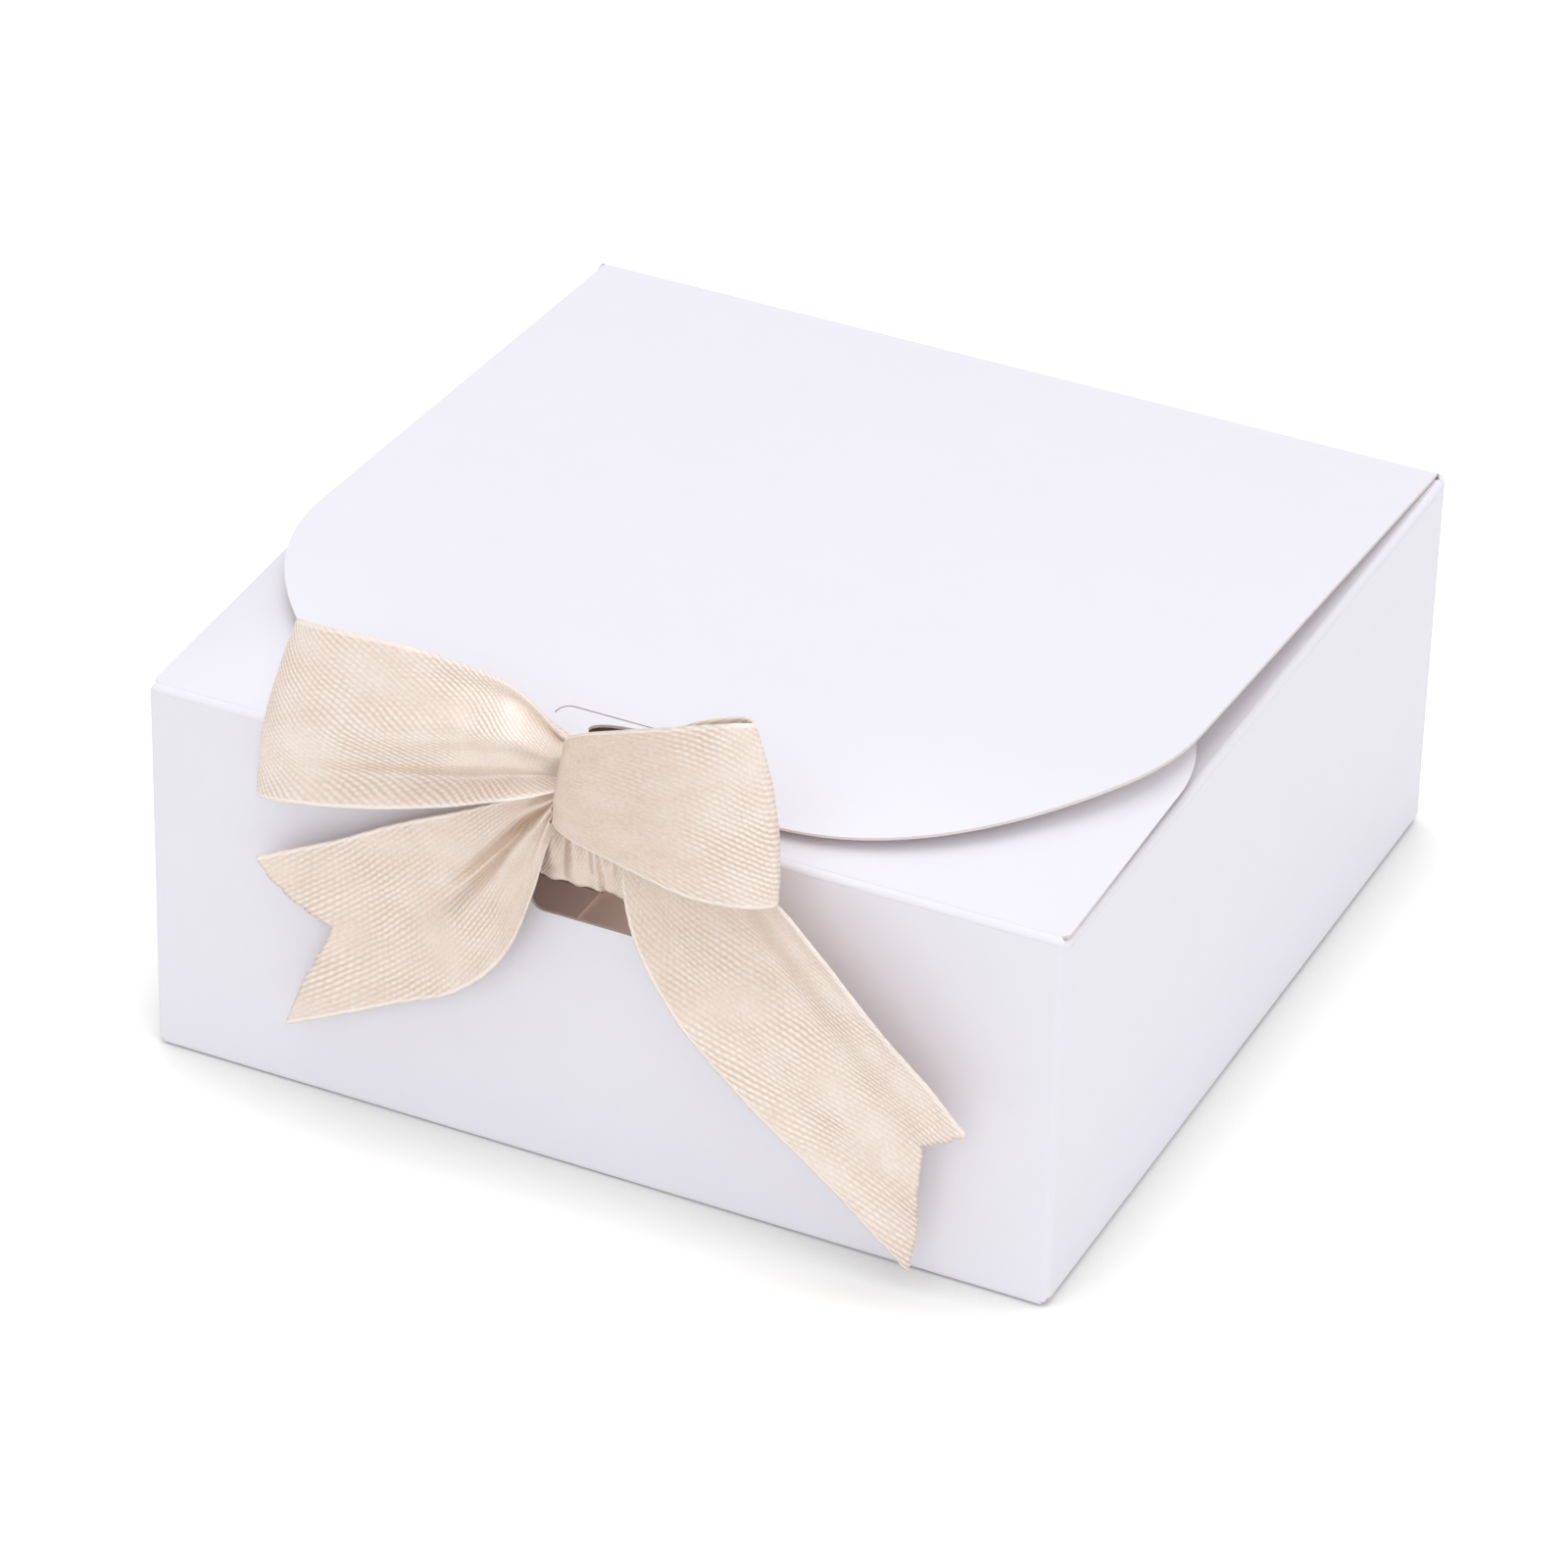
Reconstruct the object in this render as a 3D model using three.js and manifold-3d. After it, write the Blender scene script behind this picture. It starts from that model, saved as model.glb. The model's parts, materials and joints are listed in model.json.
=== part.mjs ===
// A small white cake box: a folding carton with a broad rounded lid, tied with a satin ribbon bow.
// Millimetres, +Z up. The origin is the middle of the base, on the surface that the box stands on.
// +X is to the right and -Y is the front, where the bow is.

import * as THREE from 'three';
import { mergeVertices } from 'three/addons/utils/BufferGeometryUtils.js';
import Module from 'manifold-3d';

const wasm = await Module();
wasm.setup();

// Driving dimensions of the carton
const boxWidth = 120; // outside, along X
const boxDepth = 120; // outside, along Y
const boxHeight = 52; // from the surface to the top creases of the lid and the front flap
const board = 0.45; // thickness of the card
const creaseRadius = 0.9; // outside radius of every folded edge
const creaseGap = 0.3; // open strip beside a top crease, so that the flap can turn
const layerGap = 0.2; // play between two flaps that lie on each other at a crease
const flapInset = 0.9; // how much shorter a bottom or dust flap is than its wall, at each end

// Lid: it rises from the back crease, then bends down to its front edge
const lidSideInset = 1.1; // the lid is this much narrower than the box on each side
const lidFrontSetback = 3.4; // from the front wall's face back to the lid's front edge
const lidCornerRadius = 38.5;
const lidRise = 3.3; // degrees, from the back crease
const lidDroop = 16.5; // degrees down, at the front edge
const lidBendStart = 27; // from the front wall's face
const lidBendEnd = 5;
const lidBendSteps = 6;

// Front flap under the lid
const frontFlapInset = 0.3; // how much shorter it is than its wall, at each end
const frontFlapDepth = 56;
const frontFlapCorner = 24; // radius of its rear corners
const frontFlapRise = 2.9; // degrees

// Dust flaps at the sides
const dustFlapDepth = 35;
const dustFlapRise = 1.5; // degrees
const dustFlapCorner = 8;

// Ribbon slots, measured from the front wall's face or from the top crease
const ribbonWidth = 25;
const gatheredShare = 0.6; // of the ribbon's width, where it is gathered to go through a slot
const flatterShare = 0.72; // where it lies flatter, under the knot
const slotPlay = 1; // beside the ribbon in a slot
const wallSlotWidth = gatheredShare * ribbonWidth + 2 * slotPlay;
const wallSlotHeight = 7.2;
const wallSlotBelowCrease = 9;
const lidSlotWidth = flatterShare * ribbonWidth + 4 * slotPlay;
const lidSlotGap = 4.4;
const lidSlotSetback = 8.4;
const flapSlotWidth = wallSlotWidth;
const flapSlotGap = 7;
const flapSlotSetback = 8.7;
const slotCorner = 1.8; // radius of the slots' corners

// Snap-lock bottom
const bottomFrontDepth = 66;
const bottomBackDepth = 66;
const bottomSideDepth = 34;
const bottomSideTaper = 0.6; // sideways per length, at each end of a side flap
const bottomCorner = 8;
const tongueWidth = 48;
const tongueLength = 16;
const tongueRamp = 3; // length of the step that takes the tongue inside
const tonguePlay = 1.5; // from the tongue to the sides of the notch
const glueSeamWidth = 15;
const glueSeamInset = 3; // from the ends of the wall that it is glued to

// Bow
const ribbonThickness = 0.3;
const knotRadius = 4;
const knotLength = 7.4;
const knotMiddle = 1.5; // to the right of the middle of the box
const knotOut = 1.5; // forward of the front wall's face
const knotUp = 6; // above the front crease
const knotShoulder = 0.95; // share of the radius near the knot's ends
const knotEnd = 0.75; // share of the radius at the knot's ends
const pleatDepth = 0.55; // where the ribbon is gathered
const pleatCount = 3;
const tailNotch = 0.14; // share of a tail's length that its V cut takes

// Places worked out from them
const frontFace = -boxDepth / 2;
const backFace = boxDepth / 2;
const sideFace = boxWidth / 2;
const dustFlapLevel = boxHeight - board - layerGap;
const cutReach = 10 * board; // how far a cutter goes past the card
const radians = THREE.MathUtils.degToRad;

// Materials
const card = new THREE.MeshStandardMaterial({ color: 0xf4f3fb, roughness: 0.62, metalness: 0 });
const satin = new THREE.MeshStandardMaterial({ color: 0xf0dcc4, roughness: 0.45, metalness: 0 });

const carton = new THREE.Group();

function addPiece(name, geometry, material, parent = carton) {
  const mesh = new THREE.Mesh(geometry, material.clone());
  mesh.name = name;
  parent.add(mesh);
  return mesh;
}

// Joining and cutting closed solids

function toSolid(geometry) {
  const bare = geometry.clone();
  bare.deleteAttribute('normal');
  bare.deleteAttribute('uv');
  const merged = mergeVertices(bare, 1e-5);
  const vertProperties = new Float32Array(merged.attributes.position.array);
  const triVerts = new Uint32Array(merged.index.array);
  return new wasm.Manifold(new wasm.Mesh({ numProp: 3, vertProperties, triVerts }));
}

function toGeometry(solid) {
  const mesh = solid.getMesh();
  const geometry = new THREE.BufferGeometry();
  geometry.setAttribute('position', new THREE.Float32BufferAttribute(mesh.vertProperties, 3));
  geometry.setIndex(new THREE.BufferAttribute(new Uint32Array(mesh.triVerts), 1));
  geometry.computeVertexNormals();
  return geometry;
}

// Flat outlines and prisms

function outlineShape(points) {
  return new THREE.Shape(points.map(([x, y]) => new THREE.Vector2(x, y)));
}

// Points of an arc about a centre, from one angle in degrees to another
function arcPoints(centreX, centreY, radius, from, to, steps) {
  const points = [];
  for (let i = 0; i <= steps; i += 1) {
    const angle = radians(from + ((to - from) * i) / steps);
    points.push([centreX + radius * Math.cos(angle), centreY + radius * Math.sin(angle)]);
  }
  return points;
}

function roundedRectangle(xMin, xMax, yMin, yMax, radius, steps = 4) {
  return [
    ...arcPoints(xMax - radius, yMax - radius, radius, 0, 90, steps),
    ...arcPoints(xMin + radius, yMax - radius, radius, 90, 180, steps),
    ...arcPoints(xMin + radius, yMin + radius, radius, 180, 270, steps),
    ...arcPoints(xMax - radius, yMin + radius, radius, 270, 360, steps),
  ];
}

function extruded(points, depth) {
  return new THREE.ExtrudeGeometry(outlineShape(points), { depth, bevelEnabled: false });
}

// A prism that stands on an XY outline, from one height to another
function uprightPrism(points, zMin, zMax) {
  return extruded(points, zMax - zMin).translate(0, 0, zMin);
}

// A prism along X whose section is given in Y and Z
function crossPrism(points, xMin, xMax) {
  const turnToX = new THREE.Matrix4().set(0, 0, 1, xMin, 1, 0, 0, 0, 0, 1, 0, 0, 0, 0, 0, 1);
  return extruded(points, xMax - xMin).applyMatrix4(turnToX);
}

// Walls

// Plan of a wall along X with its outer face on y = 0, bent round half of each upright crease
function wallPlan(length) {
  const end = length / 2 - creaseRadius;
  const steps = 3;
  const inner = creaseRadius - board;
  return [
    ...arcPoints(-end, creaseRadius, inner, 225, 270, steps),
    ...arcPoints(end, creaseRadius, inner, 270, 315, steps),
    ...arcPoints(end, creaseRadius, creaseRadius, 315, 270, steps),
    ...arcPoints(-end, creaseRadius, creaseRadius, 270, 225, steps),
  ].reverse();
}

function wall(name, length, bottom, top, turn, x, y, cut) {
  let geometry = uprightPrism(wallPlan(length), bottom, top);
  if (cut) geometry = toGeometry(toSolid(geometry).subtract(toSolid(cut)));
  geometry.rotateZ(radians(turn));
  geometry.translate(x, y, 0);
  addPiece(name, geometry, card);
}

// The slot that the ribbon leaves by, cut through the front wall
function wallSlotCutter() {
  const half = wallSlotWidth / 2;
  const top = boxHeight - wallSlotBelowCrease;
  const outline = roundedRectangle(-half, half, top - wallSlotHeight, top, slotCorner);
  return uprightPrism(outline, -cutReach, cutReach).rotateX(Math.PI / 2);
}

// Heights of the outer faces of the layers of the bottom, from the surface up
const sideLayer = board;
const backLayer = 2 * board;
const tongueLayer = 3 * board;

function addWalls() {
  const liddedTop = boxHeight - board - creaseGap;
  const sideTop = dustFlapLevel - board - creaseGap;
  wall('front_wall', boxWidth, creaseRadius, liddedTop, 0, 0, frontFace, wallSlotCutter());
  wall('right_wall', boxDepth, sideLayer + creaseRadius, sideTop, 90, sideFace, 0);
  wall('back_wall', boxWidth, backLayer + creaseRadius, liddedTop, 180, 0, backFace);
  wall('left_wall', boxDepth, sideLayer + creaseRadius, sideTop, 270, -sideFace, 0);
}

// The strip at the blank's end, glued inside the left wall beside the back wall
function addGlueSeam() {
  const start = backFace - creaseRadius;
  const bottom = tongueLayer + board + glueSeamInset;
  const top = dustFlapLevel - glueSeamInset;
  const taper = glueSeamWidth / 3;
  const outline = [
    [start, bottom],
    [start, top],
    [start - glueSeamWidth, top - taper],
    [start - glueSeamWidth, bottom + taper],
  ];
  const inside = -sideFace + board;
  addPiece('glue_seam', crossPrism(outline.reverse(), inside, inside + board), card);
}

// Bottom flaps

// Section of a flap that bends in from a wall's foot, along +Y from the wall's outer face at y = 0
function footSection(level, length) {
  const inner = creaseRadius - board;
  return [
    ...arcPoints(creaseRadius, level + creaseRadius, creaseRadius, 180, 270, 4),
    [length, level],
    [length, level + board],
    ...arcPoints(creaseRadius, level + creaseRadius, inner, 270, 180, 4),
  ];
}

function trapezoid(halfWidth, length, slope, corner) {
  const reach = length * slope;
  return [
    [-halfWidth, -cutReach],
    [halfWidth, -cutReach],
    [halfWidth, creaseRadius],
    [halfWidth - reach, length - corner],
    [halfWidth - reach - corner, length],
    [-halfWidth + reach + corner, length],
    [-halfWidth + reach, length - corner],
    [-halfWidth, creaseRadius],
  ];
}

// A cutter through all the layers of the bottom
function footCutter(outline) {
  return uprightPrism(outline, -cutReach, tongueLayer + board + cutReach);
}

function footFlap(level, length, outline) {
  const strip = toSolid(crossPrism(footSection(level, length), -boxWidth, boxWidth));
  return strip.intersect(toSolid(footCutter(outline)));
}

function placeFlap(name, solid, turn, x, y) {
  const geometry = toGeometry(solid);
  geometry.rotateZ(radians(turn));
  geometry.translate(x, y, 0);
  addPiece(name, geometry, card);
}

// The tongue leaves the front flap's edge, steps up through the notch and lies inside the back flap
function tongueSection() {
  const start = bottomFrontDepth - bottomCorner;
  const foot = bottomFrontDepth;
  const top = foot + tongueRamp;
  const end = top + tongueLength;
  return [
    [start, 0],
    [foot, 0],
    [top, tongueLayer],
    [end, tongueLayer],
    [end, tongueLayer + board],
    [top - board, tongueLayer + board],
    [foot - board, board],
    [start, board],
  ];
}

function addBottom() {
  const halfFront = boxWidth / 2 - flapInset;
  const halfSide = boxDepth / 2 - flapInset;
  const frontOutline = trapezoid(halfFront, bottomFrontDepth, 0, bottomCorner);
  const frontFlap = footFlap(0, bottomFrontDepth, frontOutline);
  const tongue = toSolid(crossPrism(tongueSection(), -tongueWidth / 2, tongueWidth / 2));
  placeFlap('bottom_front_flap', frontFlap.add(tongue), 0, 0, frontFace);

  const notchHalf = tongueWidth / 2 + tonguePlay;
  const notchEnd = boxDepth - bottomFrontDepth - tongueRamp - tonguePlay;
  const pastEdge = bottomBackDepth + 2 * slotCorner;
  const notch = roundedRectangle(-notchHalf, notchHalf, notchEnd, pastEdge, slotCorner);
  const backOutline = trapezoid(halfFront, bottomBackDepth, 0, bottomCorner);
  const backFlap = footFlap(backLayer, bottomBackDepth, backOutline);
  placeFlap('bottom_back_flap', backFlap.subtract(toSolid(footCutter(notch))), 180, 0, backFace);

  const sideOutline = trapezoid(halfSide, bottomSideDepth, bottomSideTaper, bottomCorner / 2);
  const sideFlap = footFlap(sideLayer, bottomSideDepth, sideOutline);
  placeFlap('bottom_right_flap', sideFlap, 90, sideFace, 0);
  placeFlap('bottom_left_flap', sideFlap, 270, -sideFace, 0);
}

// Top flaps: each is built flat, with its crease on the X axis and its outer face on z = 0,
// then turned up by its rise and stood on its wall

function addTurnedFlap(name, solid, rise, turn, x, y, level) {
  const stand = new THREE.Group();
  stand.position.set(x, y, level);
  stand.rotation.z = radians(turn);
  const leaf = new THREE.Group();
  leaf.rotation.x = radians(rise);
  stand.add(leaf);
  carton.add(stand);
  addPiece(name, toGeometry(solid), card, leaf);
}

function addFrontFlap() {
  const half = boxWidth / 2 - frontFlapInset;
  const centreX = half - frontFlapCorner;
  const centreY = frontFlapDepth - frontFlapCorner;
  const outline = [
    [-half, creaseGap],
    [half, creaseGap],
    ...arcPoints(centreX, centreY, frontFlapCorner, 0, 90, 8),
    ...arcPoints(-centreX, centreY, frontFlapCorner, 90, 180, 8),
  ];
  const slotHalf = flapSlotWidth / 2;
  const slotEnd = flapSlotSetback + flapSlotGap;
  const slot = roundedRectangle(-slotHalf, slotHalf, flapSlotSetback, slotEnd, slotCorner);
  const plate = toSolid(uprightPrism(outline, -board, 0));
  const cut = plate.subtract(toSolid(uprightPrism(slot, -cutReach, cutReach)));
  addTurnedFlap('front_flap', cut, frontFlapRise, 0, 0, frontFace, boxHeight);
}

function addDustFlaps() {
  const half = boxDepth / 2 - flapInset;
  const radius = dustFlapCorner / 2;
  const centreX = half - dustFlapDepth;
  const centreY = dustFlapDepth - radius;
  const outline = [
    [-half, creaseGap],
    [half, creaseGap],
    [centreX + dustFlapCorner, dustFlapDepth - dustFlapCorner],
    ...arcPoints(centreX, centreY, radius, 0, 90, 4).slice(1),
    ...arcPoints(-centreX, centreY, radius, 90, 180, 4).slice(0, -1),
    [-centreX - dustFlapCorner, dustFlapDepth - dustFlapCorner],
  ];
  for (const [name, turn, x] of [['right_dust_flap', 90, sideFace], ['left_dust_flap', 270, -sideFace]]) {
    const plate = toSolid(uprightPrism(outline, -board, 0));
    addTurnedFlap(name, plate, dustFlapRise, turn, x, 0, dustFlapLevel);
  }
}

// Height of the lid's outer face above the back crease, at a distance forward of that crease
const bendStart = boxDepth - lidBendStart;
const bendEnd = boxDepth - lidBendEnd;
const riseSlope = Math.tan(radians(lidRise));
const droopSlope = Math.tan(radians(lidDroop));

function lidHeight(distance) {
  const bend = (riseSlope + droopSlope) / (bendEnd - bendStart);
  const bent = Math.max(0, Math.min(distance, bendEnd) - bendStart);
  const past = Math.max(0, distance - bendEnd);
  return riseSlope * Math.min(distance, bendEnd) - (bend * bent * bent) / 2 - droopSlope * past;
}

// Slope of the lid's outer face at a distance forward of the back crease
function lidSlope(distance) {
  const share = THREE.MathUtils.clamp((distance - bendStart) / (bendEnd - bendStart), 0, 1);
  return riseSlope - (riseSlope + droopSlope) * share;
}

function addLid() {
  const half = boxWidth / 2 - lidSideInset;
  const length = boxDepth - lidFrontSetback;
  const distances = [creaseGap];
  for (let i = 0; i <= lidBendSteps; i += 1) {
    distances.push(bendStart + ((bendEnd - bendStart) * i) / lidBendSteps);
  }
  distances.push(boxDepth);
  const upper = distances.map((d) => [backFace - d, boxHeight + lidHeight(d)]);
  const lower = distances.map((d) => {
    const lean = Math.atan(lidSlope(d));
    return [backFace - d + board * Math.sin(lean), boxHeight + lidHeight(d) - board * Math.cos(lean)];
  });
  const sheet = toSolid(crossPrism([...upper, ...lower.reverse()], -boxWidth, boxWidth));
  const front = backFace - length;
  const centreX = half - lidCornerRadius;
  const centreY = front + lidCornerRadius;
  const outline = [
    [-half, backFace + cutReach],
    ...arcPoints(-centreX, centreY, lidCornerRadius, 180, 270, 14),
    ...arcPoints(centreX, centreY, lidCornerRadius, 270, 360, 14),
    [half, backFace + cutReach],
  ];
  const slotHalf = lidSlotWidth / 2;
  const slotStart = frontFace + lidSlotSetback;
  const slot = roundedRectangle(-slotHalf, slotHalf, slotStart, slotStart + lidSlotGap, slotCorner);
  const cutSheet = sheet.intersect(toSolid(uprightPrism(outline, 0, 2 * boxHeight)));
  const slotCutter = toSolid(uprightPrism(slot, 0, 2 * boxHeight));
  addPiece('lid', toGeometry(cutSheet.subtract(slotCutter)), card);
}

// Ribbon

// A point given as distance right of the middle, out from the front wall and up from the front crease
function bowPoint(right, out, up) {
  return new THREE.Vector3(right, frontFace - out, boxHeight + up);
}

// A station is [right, out, up, spread, side, lean, crown]: the middle of the ribbon, the share of its
// width that is spread there, the angles in degrees that its width leans sideways and back, and how
// far its middle bulges. Returns the station's middle, and the way from there to the upper edge.
function ribbonStation([right, out, up, spread, side, lean]) {
  const toEdge = new THREE.Vector3(
    Math.sin(radians(side)) * Math.cos(radians(lean)),
    Math.sin(radians(lean)),
    Math.cos(radians(side)) * Math.cos(radians(lean)),
  );
  return {
    middle: bowPoint(right, out, up),
    toEdge: toEdge.multiplyScalar((spread * ribbonWidth) / 2),
  };
}

// A strip of ribbon through its stations, gathered in pleats where it isn't spread.
// cut is the place along the strip where it ends, as a share, for a place across it.
function ribbonStrip(stations, alongSteps, acrossSteps, cut = () => 1) {
  const placed = stations.map(ribbonStation);
  const middles = new THREE.CatmullRomCurve3(placed.map((s) => s.middle));
  const halves = new THREE.CatmullRomCurve3(placed.map((s) => s.toEdge));
  const shapes = stations.map(([, , , spread, , , crown]) => new THREE.Vector2(1 - spread, crown));
  const gathers = new THREE.SplineCurve(shapes);
  const surface = (along, across) => {
    const half = halves.getPoint(along);
    const gather = gathers.getPoint(along);
    const tangent = middles.getTangent(along);
    const face = new THREE.Vector3().crossVectors(half, tangent).normalize();
    const bulge = gather.y * (1 - (2 * across - 1) ** 2);
    const wave = Math.sin(2 * Math.PI * pleatCount * across);
    const pleat = pleatDepth * Math.max(0, gather.x) ** 2 * wave;
    const middle = middles.getPoint(along);
    return middle.addScaledVector(half, 1 - 2 * across).addScaledVector(face, bulge + pleat);
  };
  const rows = [];
  const step = 1e-3;
  for (let i = 0; i <= alongSteps; i += 1) {
    for (let j = 0; j <= acrossSteps; j += 1) {
      const across = j / acrossSteps;
      const along = (cut(across) * i) / alongSteps;
      const behind = surface(Math.max(0, along - step), across);
      const ahead = surface(Math.min(1, along + step), across).sub(behind);
      const before = surface(along, Math.max(0, across - step));
      const beside = surface(along, Math.min(1, across + step)).sub(before);
      const normal = ahead.cross(beside).normalize().multiplyScalar(ribbonThickness / 2);
      rows.push([surface(along, across), normal]);
    }
  }
  return closedSheet(rows, alongSteps + 1, acrossSteps + 1);
}

// Closes a grid of points with normals into a thin solid
function closedSheet(rows, longCount, crossCount) {
  const positions = [];
  for (const side of [1, -1]) {
    for (const [point, normal] of rows) {
      positions.push(...point.clone().addScaledVector(normal, side).toArray());
    }
  }
  const index = [];
  const lower = rows.length;
  const quad = (a, b, c, d) => index.push(a, b, c, a, c, d);
  for (let i = 0; i < longCount - 1; i += 1) {
    for (let j = 0; j < crossCount - 1; j += 1) {
      const a = i * crossCount + j;
      const b = a + crossCount;
      quad(a, b, b + 1, a + 1);
      quad(lower + a, lower + a + 1, lower + b + 1, lower + b);
    }
  }
  const rim = [];
  for (let j = 0; j < crossCount - 1; j += 1) rim.push(j);
  for (let i = 0; i < longCount - 1; i += 1) rim.push(i * crossCount + crossCount - 1);
  for (let j = crossCount - 1; j > 0; j -= 1) rim.push((longCount - 1) * crossCount + j);
  for (let i = longCount - 1; i > 0; i -= 1) rim.push(i * crossCount);
  rim.forEach((a, k) => {
    const b = rim[(k + 1) % rim.length];
    quad(a, b, lower + b, lower + a);
  });
  const geometry = new THREE.BufferGeometry();
  geometry.setAttribute('position', new THREE.Float32BufferAttribute(positions, 3));
  geometry.setIndex(index);
  const solid = toSolid(geometry);
  if (solid.volume() < 0) {
    for (let k = 0; k < index.length; k += 3) [index[k], index[k + 1]] = [index[k + 1], index[k]];
    geometry.setIndex(index);
  }
  geometry.computeVertexNormals();
  return geometry;
}

// The V cut of a tail: the two edges' ends and the notch between them, as shares of its length
function notchedEnd(upperEnd, notch, notchAcross) {
  return (across) => {
    if (across < notchAcross) return upperEnd + ((notch - upperEnd) * across) / notchAcross;
    return notch + ((1 - notch) * (across - notchAcross)) / (1 - notchAcross);
  };
}

function addBow() {
  const leftLoop = [
    [-2.8, 3.2, 7.5, 0.26, 0, 8, 0.2],
    [-8, 4.6, 9.2, 0.52, 0, 12, 0.8],
    [-14.5, 4.4, 8.4, 0.68, 3, 12, 1.2],
    [-25, 4.1, 6.7, 0.84, 5, 10, 1.2],
    [-36.5, 3.6, 4.7, 0.95, 8, 8, 1],
    [-41, 2, 3.4, 0.98, 10, 7, 1.1],
    [-37.5, 0.2, 3.1, 0.9, 10, 6, 0.4],
    [-25.7, 0, 4.6, 0.74, 4, 7, 0],
    [-14.2, 0.1, 6.1, 0.54, 2, 9, 0],
    [-8, 0.5, 6.9, 0.36, 0, 12, 0],
    [-2.8, 0.8, 6.9, 0.2, 0, 13, 0],
  ];
  const rightLoop = [
    [-1.9, 5.5, 6.1, 0.44, 10, 0, -0.5],
    [0.3, 6.4, 6.6, 0.55, 5, 0, -0.7],
    [7, 7.2, 7.9, 0.73, 3, 1, -0.5],
    [15.2, 7.9, 8.8, 0.9, -2, 2, -0.3],
    [22.1, 8.4, 10.5, 0.94, -8, 4, -0.7],
    [25.3, 7.4, 11.2, 0.92, -11, 4, -1.3],
    [22.5, 5.8, 10.7, 0.89, -9, 4, -0.5],
    [14.8, 5.1, 9, 0.78, -2, 4, 0],
    [9, 4.3, 8, 0.5, 0, 5, 0],
    [5.9, 3.2, 7, 0.2, 0, 8, 0],
  ];
  const leftTail = [
    [-2.9, 3.7, 1.7, 0.2, 5, 7, 0],
    [-7.3, 3.8, -5, 0.47, -17, 12, -0.4],
    [-13, 3.4, -12.2, 0.74, -22, 7, -0.8],
    [-20.8, 2.9, -18.4, 0.9, -22, 3, -0.8],
    [-30, 2.8, -23.5, 0.9, -21, 0, -0.5],
    [-42, 3, -29.6, 0.94, -9, 0, 0],
  ];
  const rightTail = [
    [5.9, 1.7, 2.6, 0.2, 9, 2, 0],
    [10.8, 3.4, -0.9, 0.55, 49, -3, 0.4],
    [17, 4.4, -7.6, 0.87, 53, -5, 0.8],
    [24.2, 5.2, -14.8, 0.99, 51, -7, 1],
    [32.5, 5.4, -22.6, 0.97, 46, -8, 1],
    [40.3, 4.9, -29.8, 0.9, 36, -6, 0.8],
    [49, 4.4, -39, 0.87, 26, -5, 0.4],
  ];
  addPiece('bow_left_loop', ribbonStrip(leftLoop, 36, 12), satin);
  addPiece('bow_right_loop', ribbonStrip(rightLoop, 32, 12), satin);
  const leftCut = notchedEnd(1, 1 - tailNotch, 0.5);
  addPiece('left_tail', ribbonStrip(leftTail, 20, 12, leftCut), satin);
  const rightCut = notchedEnd(1 - tailNotch / 2, 1 - tailNotch * 0.8, 0.33);
  addPiece('right_tail', ribbonStrip(rightTail, 24, 12, rightCut), satin);
}

// The knot is a barrel across the bow, wrapped in two rounds of ribbon
function addKnot() {
  const half = knotLength / 2;
  const shoulder = half * 0.6;
  const profile = [
    [0, -half],
    [knotRadius * knotEnd, -half],
    [knotRadius * knotShoulder, -shoulder],
    [knotRadius, 0],
    [knotRadius * knotShoulder, shoulder],
    [knotRadius * knotEnd, half],
    [0, half],
  ];
  const points = profile.map(([r, x]) => new THREE.Vector2(r, x));
  const geometry = new THREE.LatheGeometry(points, 20);
  geometry.rotateZ(-Math.PI / 2);
  const centre = bowPoint(knotMiddle, knotOut, knotUp);
  geometry.translate(centre.x, centre.y, centre.z);
  addPiece('bow_knot', toGeometry(toSolid(geometry)), satin);
}

function addStrands() {
  const upperStrand = [
    [0, -7.2, -3.5, 0.5, 90, 0, 0],
    [0, -9.1, -0.4, 0.56, 90, 0, 0],
    [0, -9.75, 2.4, 0.68, 90, 0, 0],
    [0, -9.1, 4.5, 0.72, 90, 0, 0],
    [0.4, -6.4, 4.7, 0.6, 90, 0, 0],
    [1.5, -2.85, 5.5, 0.26, 90, 0, 0],
  ];
  const lowerStrand = [
    [0, -6.9, -4, 0.5, 90, 0, 0],
    [-0.2, -3.4, -8.6, 0.44, 90, 0, 0],
    [-0.3, -0.7, -10.6, 0.42, 90, 0, 0],
    [-0.3, 0.9, -10.3, 0.42, 90, 0, 0],
    [-0.3, 1.15, -8.2, 0.42, 90, 0, 0],
    [-0.2, 1.2, -4, 0.42, 90, 0, 0],
    [0, 1.4, 1.5, 0.38, 90, 0, 0],
  ];
  addPiece('ribbon_upper_strand', ribbonStrip(upperStrand, 20, 12), satin);
  addPiece('ribbon_lower_strand', ribbonStrip(lowerStrand, 24, 12), satin);
}

addWalls();
addGlueSeam();
addBottom();
addFrontFlap();
addDustFlaps();
addLid();
addKnot();
addBow();
addStrands();

export default carton;
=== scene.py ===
# %% [markdown]
# # A white cake box tied with a satin ribbon
#
# The box is one sheet of card, cut, creased and folded. Its lid is a broad flap with a round front
# that lies over two dust flaps and a front flap. A cream satin ribbon comes up through slots in the
# flaps, leaves by a slot in the front wall and is tied in a bow over the front edge.
#
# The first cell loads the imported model. Its nodes are the frame that every piece here is fitted to,
# in metres, with +Z up and the front of the box towards -Y.

# %% Load the frame
import json
import math

import bmesh
import bpy
import numpy as np
from mathutils import Matrix, Vector, noise


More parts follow.
